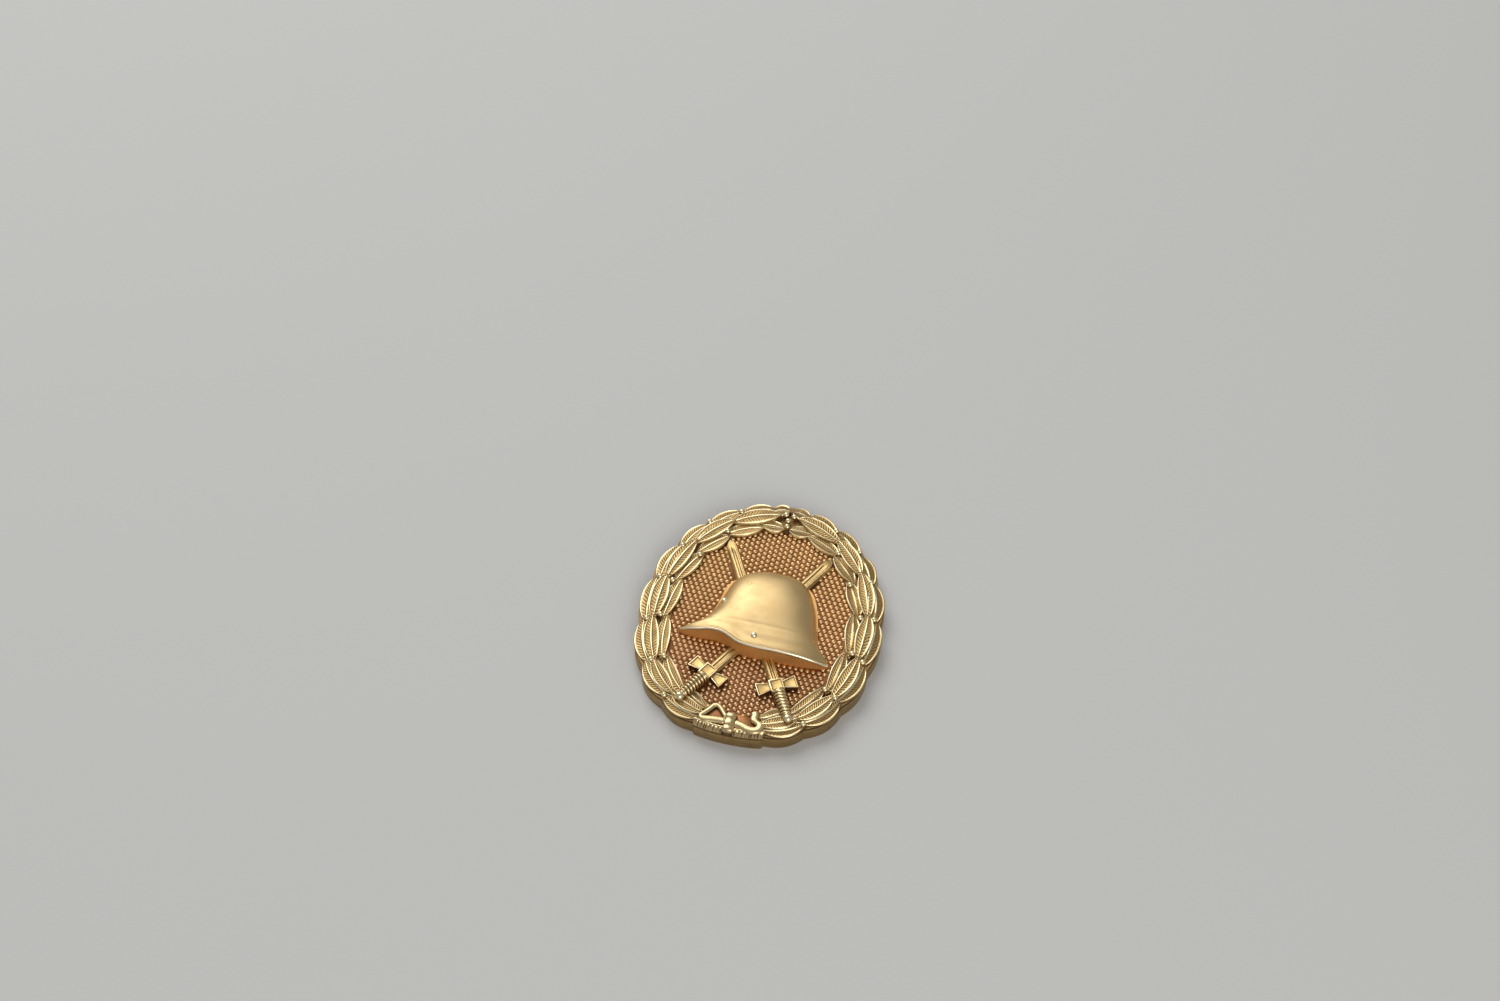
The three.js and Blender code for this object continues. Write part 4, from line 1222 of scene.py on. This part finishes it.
def make_needle():
    """Tapered pin wire with a drilled eye."""
    stations, sides = 60, 20

    def place(ring, side):
        reach = -NEEDLE_REACH * (ring / (stations - 1)) ** 0.8
        for (a, thick_a), (b, thick_b) in zip(NEEDLE_TAPER, NEEDLE_TAPER[1:]):
            if reach >= b - 1e-6:
                radius = lerp(thick_a, thick_b, (reach - a) / (b - a))
                break
        turn = tau * side / sides
        y = HINGE_Y - NEEDLE_START + reach * (NEEDLE_REACH - NEEDLE_START) / NEEDLE_REACH
        return radius * cos(turn), y, PIN_AXIS_Z + radius * sin(turn)

    wire = barrel(sides, stations, place)
    stretch = EYE_WIDTH / (2 * EYE_WIRE)
    centre = (0, HINGE_Y, PIN_AXIS_Z)
    eye = wire_ring(EYE_RADIUS, EYE_WIRE, (40, 16), centre, (0, pi / 2, 0), stretch)
    return joined([wire, eye], "needle")


# Operators


class BADGE_OT_finishes(bpy.types.Operator):
    """Makes the finishes that the pieces share"""

    bl_idname = "badge.finishes"
    bl_label = "Finishes"

    def execute(self, context):
        make_materials(context.scene.badge_colours)
        return {"FINISHED"}


class BADGE_OT_base(bpy.types.Operator):
    """Adds the struck base with its hollow back"""

    bl_idname = "badge.base"
    bl_label = "Base"

    def execute(self, context):
        base = make_base()
        finish_piece(base, "base", "Gilt base", "shell", wall_patina_and_shade=0.1)
        return {"FINISHED"}


class BADGE_OT_field(bpy.types.Operator):
    """Adds the beaded ground round the helmet"""

    bl_idname = "badge.field"
    bl_label = "Beaded field"

    def execute(self, context):
        grains = make_grains(context.scene.badge_sizes)
        finish_piece(grains, "field_grains", "Copper field", "shell", 60)
        return {"FINISHED"}


class BADGE_OT_wreath(bpy.types.Operator):
    """Adds the two halves of the laurel wreath"""

    bl_idname = "badge.wreath"
    bl_label = "Laurel wreath"

    def execute(self, context):
        for side, name in ((-1, "garland_left"), (1, "garland_right")):
            garland = make_garland(side, context.scene.badge_sizes)
            finish_piece(garland, name, "Gilt leaves", "wreath", 60)
        return {"FINISHED"}


class BADGE_OT_bow(bpy.types.Operator):
    """Adds the ribbon bow at the wreath's foot"""

    bl_idname = "badge.bow"
    bl_label = "Ribbon bow"

    def execute(self, context):
        finish_piece(make_bow(), "bow", "Gilt bow", "ribbon_bow", 60)
        panels = make_bow_panels()
        finish_piece(panels, "bow_panels", "Copper panel", "ribbon_bow")
        return {"FINISHED"}


class BADGE_OT_swords(bpy.types.Operator):
    """Adds the crossed swords"""

    bl_idname = "badge.swords"
    bl_label = "Crossed swords"

    def execute(self, context):
        for side, node in ((-1, "sword_left"), (1, "sword_right")):
            sword = make_sword(side, context.scene.badge_sizes)
            finish_piece(sword, node + "_dressed", "Gilt swords", node)
        return {"FINISHED"}


class BADGE_OT_helmet(bpy.types.Operator):
    """Adds the helmet over the crossing of the blades"""

    bl_idname = "badge.helmet"
    bl_label = "Helmet"

    def execute(self, context):
        helmet = make_helmet(context.scene.badge_sizes)
        finish_piece(helmet, "helmet_dressed", "Gilt helmet", "helmet", 50)
        return {"FINISHED"}


class BADGE_OT_pin(bpy.types.Operator):
    """Adds the hinge, needle and catch on the back"""

    bl_idname = "badge.pin"
    bl_label = "Pin and catch"

    def execute(self, context):
        for node, bevel in (("hinge_bracket", 0.04), ("catch_plate", 0.05), ("catch_hook", 0.04)):
            piece = from_frame(node, bevel)
            finish_piece(piece, node + "_softened", "Brass back", node)
        rivet = from_frame("hinge_rivet", 0.04)
        finish_piece(rivet, "rivet", "Pin steel", "hinge_rivet")
        needle = make_needle()
        finish_piece(needle, "pin_wire", "Pin steel", "needle", body="needle")
        return {"FINISHED"}


class BADGE_OT_stage(bpy.types.Operator):
    """Adds the floor, the lights and the camera"""

    bl_idname = "badge.stage"
    bl_label = "Stage"

    def execute(self, context):
        add_floor(tuple(context.scene.badge_colours.floor))
        for lamp in LAMPS:
            add_lamp(*lamp)
        add_world()
        add_camera()
        return {"FINISHED"}


# Stage


def add_floor(colour):
    """Plain pale floor."""
    floor = added(bpy.ops.mesh.primitive_plane_add, size=3)
    floor.name = "floor"
    material = bpy.data.materials.new("Floor")
    material.use_nodes = True
    shader = material.node_tree.nodes["Principled BSDF"]
    shader.inputs["Base Color"].default_value = colour
    shader.inputs["Roughness"].default_value = 0.9
    floor.data.materials.append(material)


def add_lamp(name, place, size, power):
    """A round lamp that points at the badge."""
    lamp = bpy.data.lights.new(name, "AREA")
    lamp.shape = "DISK"
    lamp.size = size
    lamp.energy = power
    holder = bpy.data.objects.new(name, lamp)
    holder.location = place
    holder.rotation_euler = (-Vector(place)).to_track_quat("-Z", "Y").to_euler()
    in_scene(holder)


def add_world():
    world = bpy.data.worlds.new("Studio")
    world.use_nodes = True
    background = world.node_tree.nodes["Background"]
    background.inputs["Color"].default_value = WORLD_COLOUR
    background.inputs["Strength"].default_value = WORLD_STRENGTH
    bpy.context.scene.world = world


def add_camera():
    """The photograph's viewpoint: a little right of the foot, high above the floor."""
    camera = bpy.data.cameras.new("camera")
    camera.lens = CAMERA_LENS
    camera.sensor_width = CAMERA_SENSOR
    camera.sensor_fit = "HORIZONTAL"
    camera.clip_start = 0.01
    holder = bpy.data.objects.new("camera", camera)
    holder.location = CAMERA_PLACE
    holder.rotation_euler = Euler([radians(angle) for angle in CAMERA_TURN], "XYZ")
    in_scene(holder)
    bpy.context.scene.camera = holder
    bpy.context.scene.view_settings.view_transform = "Standard"


class BADGE_PT_panel(bpy.types.Panel):
    """Lists the badge's sizes, colours and pieces"""

    bl_label = "Pin-back badge"
    bl_idname = "BADGE_PT_panel"
    bl_space_type = "VIEW_3D"
    bl_region_type = "UI"
    bl_category = "Badge"

    def draw(self, context):
        for group in (context.scene.badge_sizes, context.scene.badge_colours):
            for name in group.__annotations__:
                self.layout.prop(group, name)
        for operator in OPERATORS:
            self.layout.operator(operator.bl_idname)


OPERATORS = (
    BADGE_OT_finishes, BADGE_OT_base, BADGE_OT_field, BADGE_OT_wreath, BADGE_OT_bow,
    BADGE_OT_swords, BADGE_OT_helmet, BADGE_OT_pin, BADGE_OT_stage,
)
CLASSES = (BadgeSizes, BadgeColours, *OPERATORS, BADGE_PT_panel)


def register():
    for each in CLASSES:
        bpy.utils.register_class(each)
    bpy.types.Scene.badge_sizes = bpy.props.PointerProperty(type=BadgeSizes)
    bpy.types.Scene.badge_colours = bpy.props.PointerProperty(type=BadgeColours)


def unregister():
    del bpy.types.Scene.badge_colours
    del bpy.types.Scene.badge_sizes
    for each in reversed(CLASSES):
        bpy.utils.unregister_class(each)


def main():
    register()
    for name in ("finishes", "base", "field", "wreath", "bow", "swords", "helmet", "pin", "stage"):
        getattr(bpy.ops.badge, name)()
    only(None)


if __name__ == "__main__":
    main()
